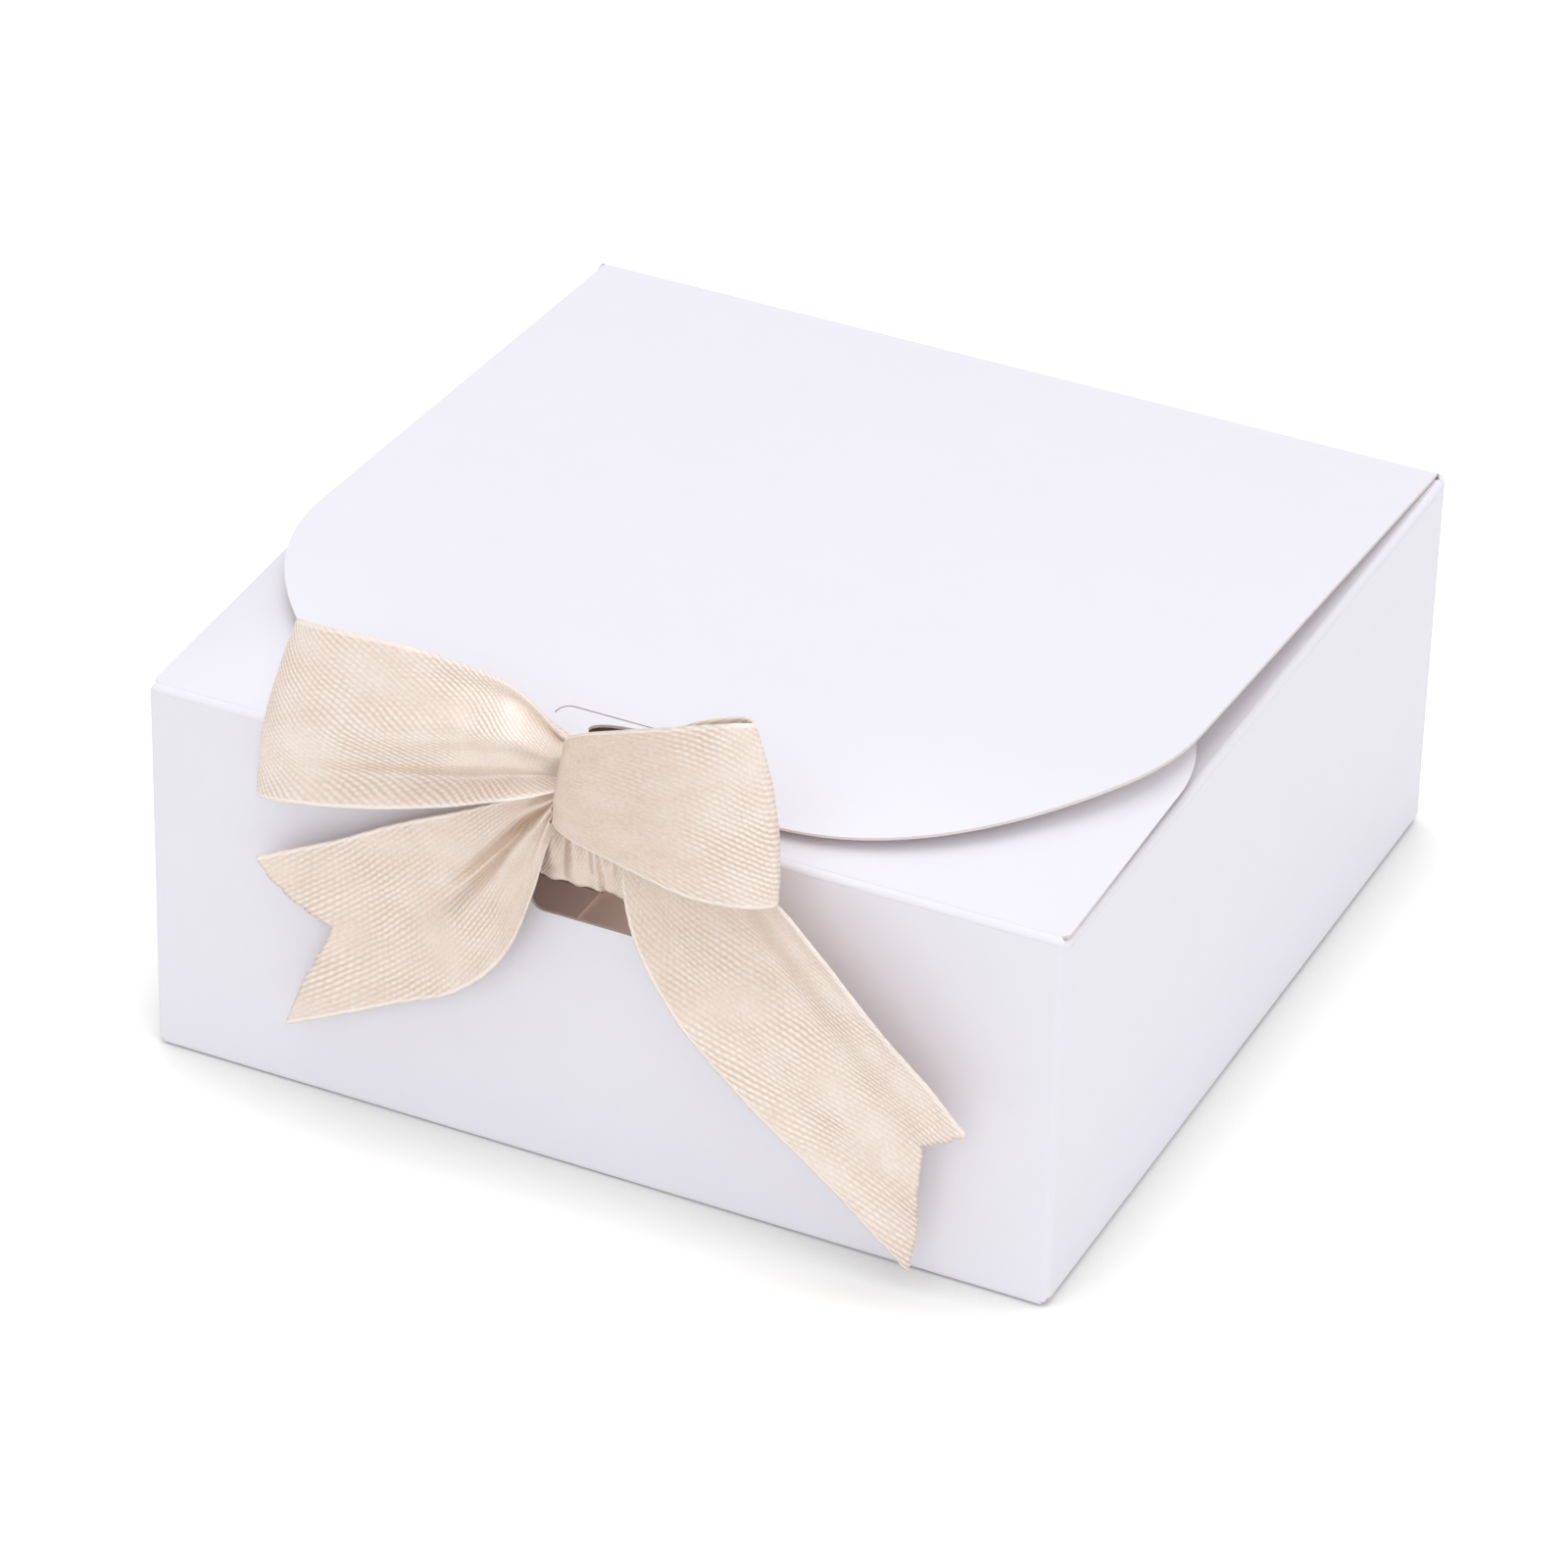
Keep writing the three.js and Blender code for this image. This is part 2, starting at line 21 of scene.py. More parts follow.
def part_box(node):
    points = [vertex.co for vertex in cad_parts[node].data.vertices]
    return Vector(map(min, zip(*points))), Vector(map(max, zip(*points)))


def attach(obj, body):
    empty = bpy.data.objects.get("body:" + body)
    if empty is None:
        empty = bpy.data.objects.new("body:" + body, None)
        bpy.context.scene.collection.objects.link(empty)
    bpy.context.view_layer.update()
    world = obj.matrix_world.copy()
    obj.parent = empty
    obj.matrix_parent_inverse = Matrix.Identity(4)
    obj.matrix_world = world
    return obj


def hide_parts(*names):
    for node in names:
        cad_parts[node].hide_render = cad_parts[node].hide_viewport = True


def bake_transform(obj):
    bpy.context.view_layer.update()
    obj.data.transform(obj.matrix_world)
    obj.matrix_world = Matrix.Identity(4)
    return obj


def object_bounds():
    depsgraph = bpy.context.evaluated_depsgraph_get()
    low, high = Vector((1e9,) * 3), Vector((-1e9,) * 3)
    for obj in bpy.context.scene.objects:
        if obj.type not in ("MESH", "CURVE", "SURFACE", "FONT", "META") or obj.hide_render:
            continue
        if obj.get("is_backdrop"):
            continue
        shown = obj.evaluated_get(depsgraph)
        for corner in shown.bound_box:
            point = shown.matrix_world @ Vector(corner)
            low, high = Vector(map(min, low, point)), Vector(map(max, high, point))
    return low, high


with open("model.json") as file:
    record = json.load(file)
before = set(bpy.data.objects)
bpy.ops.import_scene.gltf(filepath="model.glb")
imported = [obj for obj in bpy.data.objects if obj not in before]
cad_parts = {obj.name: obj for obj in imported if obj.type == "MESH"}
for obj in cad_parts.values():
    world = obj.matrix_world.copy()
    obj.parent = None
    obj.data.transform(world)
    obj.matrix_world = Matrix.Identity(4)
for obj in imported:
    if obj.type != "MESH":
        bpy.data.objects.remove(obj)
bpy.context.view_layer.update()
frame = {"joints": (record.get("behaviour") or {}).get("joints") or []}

MM = 0.001

# %% [markdown]
# ## The camera
#
# The picture was taken with a long lens from the right and above. A long lens keeps the box's
# edges nearly parallel. The camera could be placed by eye, but here its angles come from fitting
# the box's corners to the picture, so the render can be laid over it.

# %% Camera
CAMERA_AZIMUTH = 24.72  # degrees
CAMERA_ELEVATION = 32.59
CAMERA_ROLL = 1.57
CAMERA_DISTANCE = 0.916
CAMERA_LENS = 167.6
CAMERA_TARGET = (-0.00348, 0, 0.02057)

scene = bpy.context.scene
scene.view_settings.view_transform = "Standard"


def turn(degrees, axis):
    return Matrix.Rotation(math.radians(degrees), 4, axis)


def shift(x, y, z):
    return Matrix.Translation((x, y, z))


def add_to_scene(name, data):
    thing = bpy.data.objects.new(name, data)
    scene.collection.objects.link(thing)
    return thing


camera = add_to_scene("camera", bpy.data.cameras.new("camera"))
aim = turn(CAMERA_AZIMUTH, "Z") @ turn(90 - CAMERA_ELEVATION, "X") @ turn(CAMERA_ROLL, "Z")
camera.matrix_world = shift(*CAMERA_TARGET) @ aim @ shift(0, 0, CAMERA_DISTANCE)
camera.data.lens = CAMERA_LENS
camera.data.clip_start = 0.01
camera.data.clip_end = 20
scene.camera = camera
print("the camera stands at", [round(c, 3) for c in camera.matrix_world.translation])

# %% [markdown]
# ## Wiring nodes
#
# World, floor and materials are all trees of nodes. Small helpers keep their wiring readable: they
# add a node with its settings, a sum, a mix of two colours or a noise, and tell a backdrop's rays.

# %% Node helpers


def plug(tree, socket, value):
    """Links a socket to another, or gives it a plain value."""
    if isinstance(value, bpy.types.NodeSocket):
        tree.links.new(value, socket)
    else:
        socket.default_value = value


def add_node(tree, kind, sockets=None, **settings):
    node = tree.nodes.new("ShaderNode" + kind)
    for name, value in settings.items():
        setattr(node, name, value)
    for name, value in (sockets or {}).items():
        plug(tree, node.inputs[name], value)
    return node


def add_sum(tree, operation, *values):
    return add_node(tree, "Math", dict(enumerate(values)), operation=operation).outputs[0]


def add_mix(tree, share, first, second):
    """Mixes two colours, which a Mix node takes in its sockets 6 and 7."""
    node = add_node(tree, "Mix", data_type="RGBA")
    for socket, value in zip((0, 6, 7), (share, first, second)):
        plug(tree, node.inputs[socket], value)
    return node.outputs[2]


def add_spots(tree, place, scale, detail):
    """A soft noise between 0 and 1."""
    sockets = {"Vector": place, "Scale": scale, "Detail": detail}
    return add_node(tree, "TexNoise", sockets).outputs[0]


def seen_as_backdrop(tree):
    """1 for what the camera sees straight, through glass or in a gloss, 0 for soft bounces."""
    path = add_node(tree, "LightPath").outputs
    through = add_sum(tree, "MAXIMUM", path["Is Camera Ray"], path["Is Transmission Ray"])
    return add_sum(tree, "MAXIMUM", through, path["Is Glossy Ray"])


print("node helpers ready")

# %% [markdown]
# ## Light and background
#
# Product pictures of white goods are lit from large soft boxes. In the picture the light comes
# from above, from in front and from the right, and the walls are nearly as bright as the lid. One
# strong lamp would throw hard shadows, so large ones share the work with bright surroundings.
#
# The background is pure white. Turning the lamps up until the floor clips would bleach the card
# too, so the floor shows the camera a little more light than it gets, and the box doesn't. Where
# the box nearly touches the floor that extra light fades out, which keeps the shadow along its
# foot, and the floor's colour is darkened there as well, a painted shadow that the camera sees;
# an Ambient Occlusion node finds those places.
#
# Thin card lets some light through, so the inside of a closed white box isn't black. Light that
# crosses the card takes many bounces to trace, so a faint lamp in the cake's space stands for it.

# %% World
WORLD_LIGHT = 0.5
WORLD_COLOUR = (0.99, 0.99, 1.0, 1)


def make_world():
    world = bpy.data.worlds.new("studio")
    scene.world = world
    world.use_nodes = True
    tree = world.node_tree
    light = tree.nodes["Background"]
    light.inputs["Color"].default_value = WORLD_COLOUR
    light.inputs["Strength"].default_value = WORLD_LIGHT
    white = add_node(tree, "Background", {"Color": (1, 1, 1, 1)})
    seen = seen_as_backdrop(tree)
    both = add_node(tree, "MixShader", {0: seen, 1: light.outputs[0], 2: white.outputs[0]})
    tree.links.new(both.outputs[0], tree.nodes["World Output"].inputs["Surface"])


make_world()
print("world light:", WORLD_LIGHT)

# %% Soft boxes
SOFT_BOX_DISTANCE = 1.2
SOFT_BOX_SIDE = 1.0
SOFT_BOXES = {
    # name: degrees to the right of the front, degrees up, power in watts
    "front_box": (10, 33, 3.0),
    "left_box": (-90, 36, 0.3),
    "right_box": (96, 33, 1.8),
    "overhead_box": (0, 88, 5.3),
}


def add_lamp(name, side, power, place):
    """A square lamp that shines down its own Z axis."""
    lamp = bpy.data.lights.new(name, "AREA")
    lamp.size = side
    lamp.energy = power
    holder = add_to_scene(name, lamp)
    holder.matrix_world = place
    return holder


for box_name, (azimuth, elevation, power) in SOFT_BOXES.items():
    aim_down = turn(azimuth, "Z") @ turn(90 - elevation, "X")
    add_lamp(box_name, SOFT_BOX_SIDE, power, aim_down @ shift(0, 0, SOFT_BOX_DISTANCE))
print("soft boxes:", list(SOFT_BOXES))

# %% Light inside the box
GLOW_POWER = 0.0055
GLOW_SIDE = 0.02
GLOW_COLOUR = (1, 0.76, 0.68)
GLOW_PLACE = (0.0, -0.006, 0.022)
glow = add_lamp("light_through_card", GLOW_SIDE, GLOW_POWER, shift(*GLOW_PLACE))
glow.data.color = GLOW_COLOUR
glow.visible_camera = False
print("light inside:", GLOW_POWER, "W")

# %% Floor
FLOOR_SIDE = 6.0
FLOOR_COLOUR = (0.94, 0.94, 0.925, 1)
FLOOR_LIFT = 0.5  # light added to the floor for the camera alone
FOOT_SHADOW_REACH = 25 * MM
FOOT_SHADOW_DEPTH = 0.35  # how far it darkens the floor
FOOT_SHADOW_FALL = 2.0  # how fast the added light fades there
FOOT_SHADOW_SAMPLES = 8


def make_floor_material():
    material = bpy.data.materials.new("white_sweep")
    material.use_nodes = True
    tree = material.node_tree
    tree.nodes.remove(tree.nodes["Principled BSDF"])
    seen = seen_as_backdrop(tree)
    reach = {"Distance": FOOT_SHADOW_REACH}
    opening = add_node(tree, "AmbientOcclusion", reach, samples=FOOT_SHADOW_SAMPLES)
    shut = add_sum(tree, "SUBTRACT", 1.0, opening.outputs["AO"])
    # painted shadow: for the camera the floor's colour is darkened where the box nearly touches it
    painted_foot_shadow = add_sum(tree, "MULTIPLY", add_sum(tree, "MULTIPLY", shut, seen), FOOT_SHADOW_DEPTH)
    colour = add_mix(tree, painted_foot_shadow, FLOOR_COLOUR, (0, 0, 0, 1))
    matt = add_node(tree, "BsdfDiffuse", {"Color": colour})
    clear = add_sum(tree, "POWER", opening.outputs["AO"], FOOT_SHADOW_FALL)
    lift = add_sum(tree, "MULTIPLY", add_sum(tree, "MULTIPLY", seen, clear), FLOOR_LIFT)
    glow = add_node(tree, "Emission", {"Strength": lift})
    both = add_node(tree, "AddShader", {0: matt.outputs[0], 1: glow.outputs[0]})
    tree.links.new(both.outputs[0], tree.nodes["Material Output"].inputs["Surface"])
    return material


def make_floor():
    bm = bmesh.new()
    bmesh.ops.create_grid(bm, x_segments=1, y_segments=1, size=FLOOR_SIDE / 2)
    mesh = bpy.data.meshes.new("floor")
    bm.to_mesh(mesh)
    bm.free()
    floor = add_to_scene("floor", mesh)
    floor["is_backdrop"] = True
    mesh.materials.append(make_floor_material())


make_floor()
print("the floor is", FLOOR_SIDE, "m wide")

# %% [markdown]
# ## Card
#
# Carton board is pressed paper pulp. Its printed side is coated: smooth, bright, slightly blue,
# with the faint cloudiness of the pulp under the coating. The inside is bare, a shade warmer and
# more fibrous, and the cut edge shows the raw core. A photograph of paper could be wrapped on, but
# two noises, one for the clouds and one drawn out into fibres, look right from any distance.
#
# Three materials share that effect, so it is a node group with its own inputs. It only puts out
# what changes over the surface; the shader stays in each material.

# %% Node group: paper
CLOUDS_PER_METRE = 140.0
FIBRES_PER_METRE = 1900.0
FIBRE_SHARE = 0.3  # of the colour's variation
FIBRE_GLOSS = 0.1  # how far the fibres change the roughness
CLOUD_HEIGHT = 0.5  # of a fibre's


def new_group(name, inputs):
    """A group's tree, the sockets that it is given and those that it puts out."""
    tree = bpy.data.node_groups.new(name, "ShaderNodeTree")
    for label, (kind, value) in inputs.items():
        socket = tree.interface.new_socket(label, in_out="INPUT", socket_type="NodeSocket" + kind)
        socket.default_value = value
    for label, kind in (("Color", "Color"), ("Roughness", "Float"), ("Height", "Float")):
        tree.interface.new_socket(label, in_out="OUTPUT", socket_type="NodeSocket" + kind)
    given = tree.nodes.new("NodeGroupInput").outputs
    wanted = tree.nodes.new("NodeGroupOutput").inputs
    return tree, given, wanted


def make_paper_group():
    tree, given, wanted = new_group(
        "paper",
        {
            "Light": ("Color", (1, 1, 1, 1)),
            "Dark": ("Color", (0.9, 0.9, 0.9, 1)),
            "Fibre length": ("Float", 3.0),
            "Roughness": ("Float", 0.5),
        },
    )
    place = add_node(tree, "TexCoord").outputs["Object"]
    clouds = add_spots(tree, place, CLOUDS_PER_METRE, 3.0)
    draw_out = add_node(tree, "CombineXYZ", {"X": given["Fibre length"], "Y": 1.0, "Z": 1.0})
    drawn = add_node(tree, "VectorMath", {0: place, 1: draw_out.outputs[0]}, operation="DIVIDE")
    fibres = add_spots(tree, drawn.outputs[0], FIBRES_PER_METRE, 2.0)
    part = add_sum(tree, "MULTIPLY", fibres, FIBRE_SHARE)
    share = add_sum(tree, "MULTIPLY_ADD", clouds, 1 - FIBRE_SHARE, part)
    plug(tree, wanted["Color"], add_mix(tree, share, given["Light"], given["Dark"]))
    middle = add_sum(tree, "SUBTRACT", given["Roughness"], FIBRE_GLOSS / 2)
    rough = add_sum(tree, "MULTIPLY_ADD", fibres, FIBRE_GLOSS, middle)
    plug(tree, wanted["Roughness"], rough)
    height = add_sum(tree, "MULTIPLY_ADD", clouds, CLOUD_HEIGHT, fibres)
    plug(tree, wanted["Height"], height)
    return tree


paper = make_paper_group()
print("group inputs:", [i.name for i in paper.interface.items_tree if i.in_out == "INPUT"])

# %% Card materials
CARD_LOOKS = {
    # name: light, dark, roughness, gloss, strength of its bumps and their height in mm
    "coated_card": ((0.925, 0.912, 0.98), (0.905, 0.892, 0.96), 0.5, 0.4, 0.25, 0.02),
    "cut_card": ((0.88, 0.82, 0.79), (0.80, 0.73, 0.69), 0.85, 0.2, 0.5, 0.04),
    "bare_card": ((0.84, 0.77, 0.735), (0.76, 0.68, 0.64), 0.8, 0.25, 0.4, 0.03),
}


def new_material(name, group, group_sockets, bump_strength, bump_height, shader_sockets):
    """A material whose shader is fed by a group's colour, roughness and height."""
    material = bpy.data.materials.new(name)
    material.use_nodes = True
    tree = material.node_tree
    shader = tree.nodes["Principled BSDF"]
    effect = add_node(tree, "Group", node_tree=group)
    for label, value in group_sockets.items():
        plug(tree, effect.inputs[label], value)
    bump = add_node(
        tree,
        "Bump",
        {"Strength": bump_strength, "Distance": bump_height, "Height": effect.outputs["Height"]},
    )
    plug(tree, shader.inputs["Base Color"], effect.outputs["Color"])
    plug(tree, shader.inputs["Roughness"], effect.outputs["Roughness"])
    plug(tree, shader.inputs["Normal"], bump.outputs[0])
    for label, value in shader_sockets.items():
        shader.inputs[label].default_value = value
    return material


def new_card(name, light, dark, roughness, gloss, bump_strength, bump_height):
    look = {"Light": (*light, 1), "Dark": (*dark, 1), "Roughness": roughness}
    shine = {"Specular IOR Level": gloss}
    return new_material(name, paper, look, bump_strength, bump_height * MM, shine)


CARD_FINISHES = [new_card(name, *look) for name, look in CARD_LOOKS.items()]
print("card finishes:", [m.name for m in CARD_FINISHES])

# %% [markdown]
# ## From a cutting die to a panel
#
# A panel of the box starts as what the die cuts: an outline with slots, flat. The outline becomes
# a face with holes by filling its edges. Where the panel bends into a crease, its edge is spun
# about the crease's axis. A Solidify modifier then gives the card its thickness and paints the
# inside and the cut edges with their own finishes, and a fine Bevel takes the sharpness off.
# Cutting a solid plate with booleans would work too, but it leaves untidy faces at each slot.

# %% Card sizes, from the frame
BOARD = 0.45 * MM
CREASE_RADIUS = 0.9 * MM
EDGE_SOFTNESS = 0.05 * MM
CREASE_STEPS = 8
SAME_PLACE = 1e-7  # metres: points that are nearer than this are one

front_face = -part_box("front_wall")[0].y
back_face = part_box("back_wall")[1].y
side_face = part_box("right_wall")[1].x
hinges = {joint["name"]: Vector(joint["pos_m"]) for joint in frame["joints"]}
top_crease = hinges["lid_hinge"].z
dust_crease = hinges["right_dust_flap_hinge"].z
outside = (front_face, back_face, side_face, top_crease)
print("outer faces and top crease in mm:", [round(v / MM, 2) for v in outside])

# %% Outlines
SLOT_STEPS = 5  # in each rounded corner of a slot
SMALL_STEPS = 6  # in other small rounds


def arc(centre, radius, start, end, steps):
    """Points of an arc in degrees, about a centre."""
    angles = np.radians(np.linspace(start, end, steps + 1))
    return [(centre[0] + radius * math.cos(a), centre[1] + radius * math.sin(a)) for a in angles]


def round_end(x, y, radius, steps):
    """The two rounded corners of a flap's free end."""
    return arc((x, y), radius, 0, 90, steps) + arc((-x, y), radius, 90, 180, steps)


def rounded_slot(half_width, bottom, top, radius):
    points = []
    for x, y, start in ((1, top, 0), (-1, top, 90), (-1, bottom, 180), (1, bottom, 270)):
        inward = -radius if y == top else radius
        centre = (x * (half_width - radius), y + inward)
        points += arc(centre, radius, start, start + 90, SLOT_STEPS)
    return points


def flat_sheet(outline, holes=()):
    """A flat sheet with holes."""
    bm = bmesh.new()
    for loop in (outline, *holes):
        verts = [bm.verts.new((x, y, 0)) for x, y in loop]
        for first, second in zip(verts, verts[1:] + verts[:1]):
            bm.edges.new((first, second))
    bmesh.ops.triangle_fill(bm, use_beauty=True, use_dissolve=False, edges=bm.edges[:])
    return bm


def rim_edges(bm, axis, value):
    """The open edges that lie at one place along an axis."""
    return [
        e for e in bm.edges
        if e.is_boundary and all(abs(v.co[axis] - value) < SAME_PLACE for v in e.verts)
    ]


def cut_line(bm, axis, place):
    """Cuts the sheet right across, at one place along X or Y, so that it can bend there."""
    normal = Vector((axis == 0, axis == 1, 0))
    everything = bm.verts[:] + bm.edges[:] + bm.faces[:]
    bmesh.ops.bisect_plane(bm, geom=everything, plane_co=normal * place, plane_no=normal)


def roll_edge(bm, edges, centre, axis, degrees, steps):
    """Bends the sheet on from an edge, about an axis."""
    bmesh.ops.spin(
        bm, geom=edges, cent=centre, axis=axis, angle=math.radians(degrees), steps=steps
    )


print("outline helpers ready")

# %% Finishing a panel
SHARP = 50  # degrees between two faces, past which their edge is softened


def add_object(name, bm, finishes):
    mesh = bpy.data.meshes.new(name)
    for face in bm.faces:
        face.smooth = True
    bm.to_mesh(mesh)
    bm.free()
    for material in finishes:
        mesh.materials.append(material)
    return add_to_scene(name, mesh)


def add_thickness(piece, thickness, offset, own_finishes):
    """Thickens a sheet. Card has its own finishes for its cut edges and its inside, and its bends
    are clean enough to keep the thickness even round them, which makes spikes in tight folds."""
    solid = piece.modifiers.new("thickness", "SOLIDIFY")
    solid.thickness = thickness
    solid.offset = offset
    solid.use_even_offset = own_finishes
    if own_finishes:  # counted from the outside's finish
        solid.material_offset_rim = 1
        solid.material_offset = 2


def soften_edges(piece, width):
    bevel = piece.modifiers.new("soft_edges", "BEVEL")
    bevel.width = width
    bevel.segments = 2
    bevel.limit_method = "ANGLE"
    bevel.angle_limit = math.radians(SHARP)
    bevel.harden_normals = True


def card_panel(name, bm, place, outward=(0, 0, 1)):
    """Stands a sheet in its place and gives it the card's thickness and finishes. outward is the
    way that most of its printed side faces before it is placed."""
    bmesh.ops.remove_doubles(bm, verts=bm.verts[:], dist=SAME_PLACE)
    bmesh.ops.recalc_face_normals(bm, faces=bm.faces[:])
    facing = sum((face.normal * face.calc_area() for face in bm.faces), Vector())
    if facing.dot(Vector(outward)) < 0:
        bmesh.ops.reverse_faces(bm, faces=bm.faces[:])
    bmesh.ops.transform(bm, matrix=place, verts=bm.verts[:])
    piece = add_object(name, bm, CARD_FINISHES)
    add_thickness(piece, BOARD, -1, True)
    soften_edges(piece, EDGE_SOFTNESS)
    return piece


print("panels are", BOARD / MM, "mm thick")

# %% [markdown]
# ## The four walls
#
# Each wall ends in half of the rounded crease at both corners, so that neighbours meet on the
# corner's diagonal and the crease looks like one bend. Above the wall the crease closes over in a
# small shoulder between the creases of the top flaps. Both are one profile, an upright line with
# an arc at its top, spun about the corner's axis. The front wall has the slot that the ribbon
# leaves by.

# %% Walls
CORNER_STEPS = 6
CORNER_SPAN = 45  # degrees of the corner's round that belong to one wall
SHOULDER_SPAN = 80  # degrees, up to a pinhole on the corner's axis
SHOULDER_STEPS = 7
LID_RISE = 3.3  # degrees
FRONT_FLAP_RISE = 2.9
DUST_FLAP_RISE = 1.5
WALL_SLOT_HALF = 8.5 * MM
WALL_SLOT_TOP = top_crease - 9 * MM
WALL_SLOT_HEIGHT = 7.2 * MM
SLOT_CORNER = 1.8 * MM


def crease_setback(rise):
    """How far from the corner a crease begins, on a flap that rises by this angle."""
    return CREASE_RADIUS / math.tan(math.radians((90 + rise) / 2))


def stand(angle, distance):
    """The place of an upright panel: local X runs along it, Y up and Z outwards."""
    return turn(angle, "Z") @ shift(0, -distance, 0) @ turn(90, "X")


def add_shoulder(bm, x, top):
    """Draws the arc that closes an upright crease, from the end of the wall's top at x."""
    last = next(v for v in bm.verts if (v.co - Vector((x, top, 0))).length < SAME_PLACE)
    edges = []
    round_over = arc((-CREASE_RADIUS, top), CREASE_RADIUS, 0, SHOULDER_SPAN, SHOULDER_STEPS)
    for z, y in round_over[1:]:
        vert = bm.verts.new((x, y, z))
        edges.append(bm.edges.new((last, vert)))
        last = vert
    return edges


def make_wall(name, node, angle, distance, width, bottom, top, corner_tops, holes=()):
    """corner_tops are the heights of the left and right corners, which neighbours share."""
    flat = width / 2 - CREASE_RADIUS
    bm = flat_sheet([(-flat, bottom), (flat, bottom), (flat, top), (-flat, top)], holes)
    for side, corner_top in zip((-1, 1), corner_tops):
        profile = rim_edges(bm, 0, side * flat) + add_shoulder(bm, side * flat, top)
        axis = Vector((side * flat, 0, -CREASE_RADIUS))
        roll_edge(bm, profile, axis, (0, 1, 0), side * CORNER_SPAN, CORNER_STEPS)
        for vert in bm.verts:
            along, up, out = vert.co - axis
            if side * along > SAME_PLACE and up > top - SAME_PLACE:
                turned = math.degrees(math.atan2(side * along, out))
                vert.co.y += (corner_top - top) * turned / CORNER_SPAN
    piece = card_panel(name, bm, stand(angle, distance))
    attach(piece, "carton")
    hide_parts(node)


foot = CREASE_RADIUS
slot_bottom = WALL_SLOT_TOP - WALL_SLOT_HEIGHT
slot_hole = rounded_slot(WALL_SLOT_HALF, slot_bottom, WALL_SLOT_TOP, SLOT_CORNER)
front_top = top_crease - crease_setback(FRONT_FLAP_RISE)
back_top = top_crease - crease_setback(LID_RISE)
side_top = dust_crease - crease_setback(DUST_FLAP_RISE)
wall_width, wall_depth = 2 * side_face, front_face + back_face
front_tops, back_tops = (front_top, front_top), (back_top, back_top)
right_tops, left_tops = (front_top, back_top), (back_top, front_top)
make_wall(
    "wall_front", "front_wall", 0, front_face, wall_width, foot, front_top, front_tops, [slot_hole]
)
make_wall("wall_right", "right_wall", 90, side_face, wall_depth, foot + BOARD, side_top, right_tops)
make_wall(
    "wall_back", "back_wall", 180, back_face, wall_width, foot + 2 * BOARD, back_top, back_tops
)
make_wall("wall_left", "left_wall", 270, side_face, wall_depth, foot + BOARD, side_top, left_tops)
print("walls end at mm:", [round(v / MM, 2) for v in (front_top, side_top, back_top)])

# %% Glue seam
SEAM_WIDTH = 15 * MM
SEAM_INSET = 3 * MM


def make_glue_seam():
    start = -back_face + CREASE_RADIUS  # on the left wall, local X runs from back to front
    bottom = 4 * BOARD + SEAM_INSET  # clear of the bottom's four layers
    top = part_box("glue_seam")[1].z
    taper = SEAM_WIDTH / 3
    outline = [
        (start, bottom),
        (start + SEAM_WIDTH, bottom + taper),
        (start + SEAM_WIDTH, top - taper),
        (start, top),
    ]
    piece = card_panel("seam_strip", flat_sheet(outline), stand(270, side_face - BOARD))
    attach(piece, "carton")
    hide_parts("glue_seam")


make_glue_seam()
print("the seam is", SEAM_WIDTH / MM, "mm wide")

# %% [markdown]
# ## The snap-lock bottom
#
# Four flaps fold in under the box. The two at the sides lie between the others, and a tongue on
# the front one steps up through a notch in the back one, which locks the bottom without glue.
# Each flap begins with a quarter round, spun from its edge up to the foot of its wall.

# %% Bottom flaps
FLAP_INSET = 0.9 * MM
BOTTOM_DEPTH = 66 * MM
SIDE_FLAP_DEPTH = 34 * MM
SIDE_FLAP_TAPER = 0.6
BOTTOM_CORNER = 8 * MM
TONGUE_WIDTH = 48 * MM
TONGUE_LENGTH = 16 * MM
TONGUE_RAMP = 3 * MM
TONGUE_PLAY = 1.5 * MM
TONGUE_CLIMB = 3 * BOARD


def foot_flap(half, depth, taper, corner, tongue=()):
    """A flat flap from its crease on local Y, with a quarter round up to the wall's foot."""
    reach = depth * taper
    start = CREASE_RADIUS
    outline = [
        (half, start),
        (half - reach, depth - corner),
        (half - reach - corner, depth),
        *tongue,
        (-half + reach + corner, depth),
        (-half + reach, depth - corner),
        (-half, start),
    ]
    bm = flat_sheet(outline)
    edges = rim_edges(bm, 1, start)
    roll_edge(bm, edges, (0, start, -CREASE_RADIUS), (1, 0, 0), 90, CREASE_STEPS)
    return bm


def place_bottom(name, node, bm, angle, distance, level):
    place = turn(angle, "Z") @ shift(0, -distance, level) @ turn(180, "Y")
    piece = card_panel(name, bm, place)
    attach(piece, "carton")
    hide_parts(node)


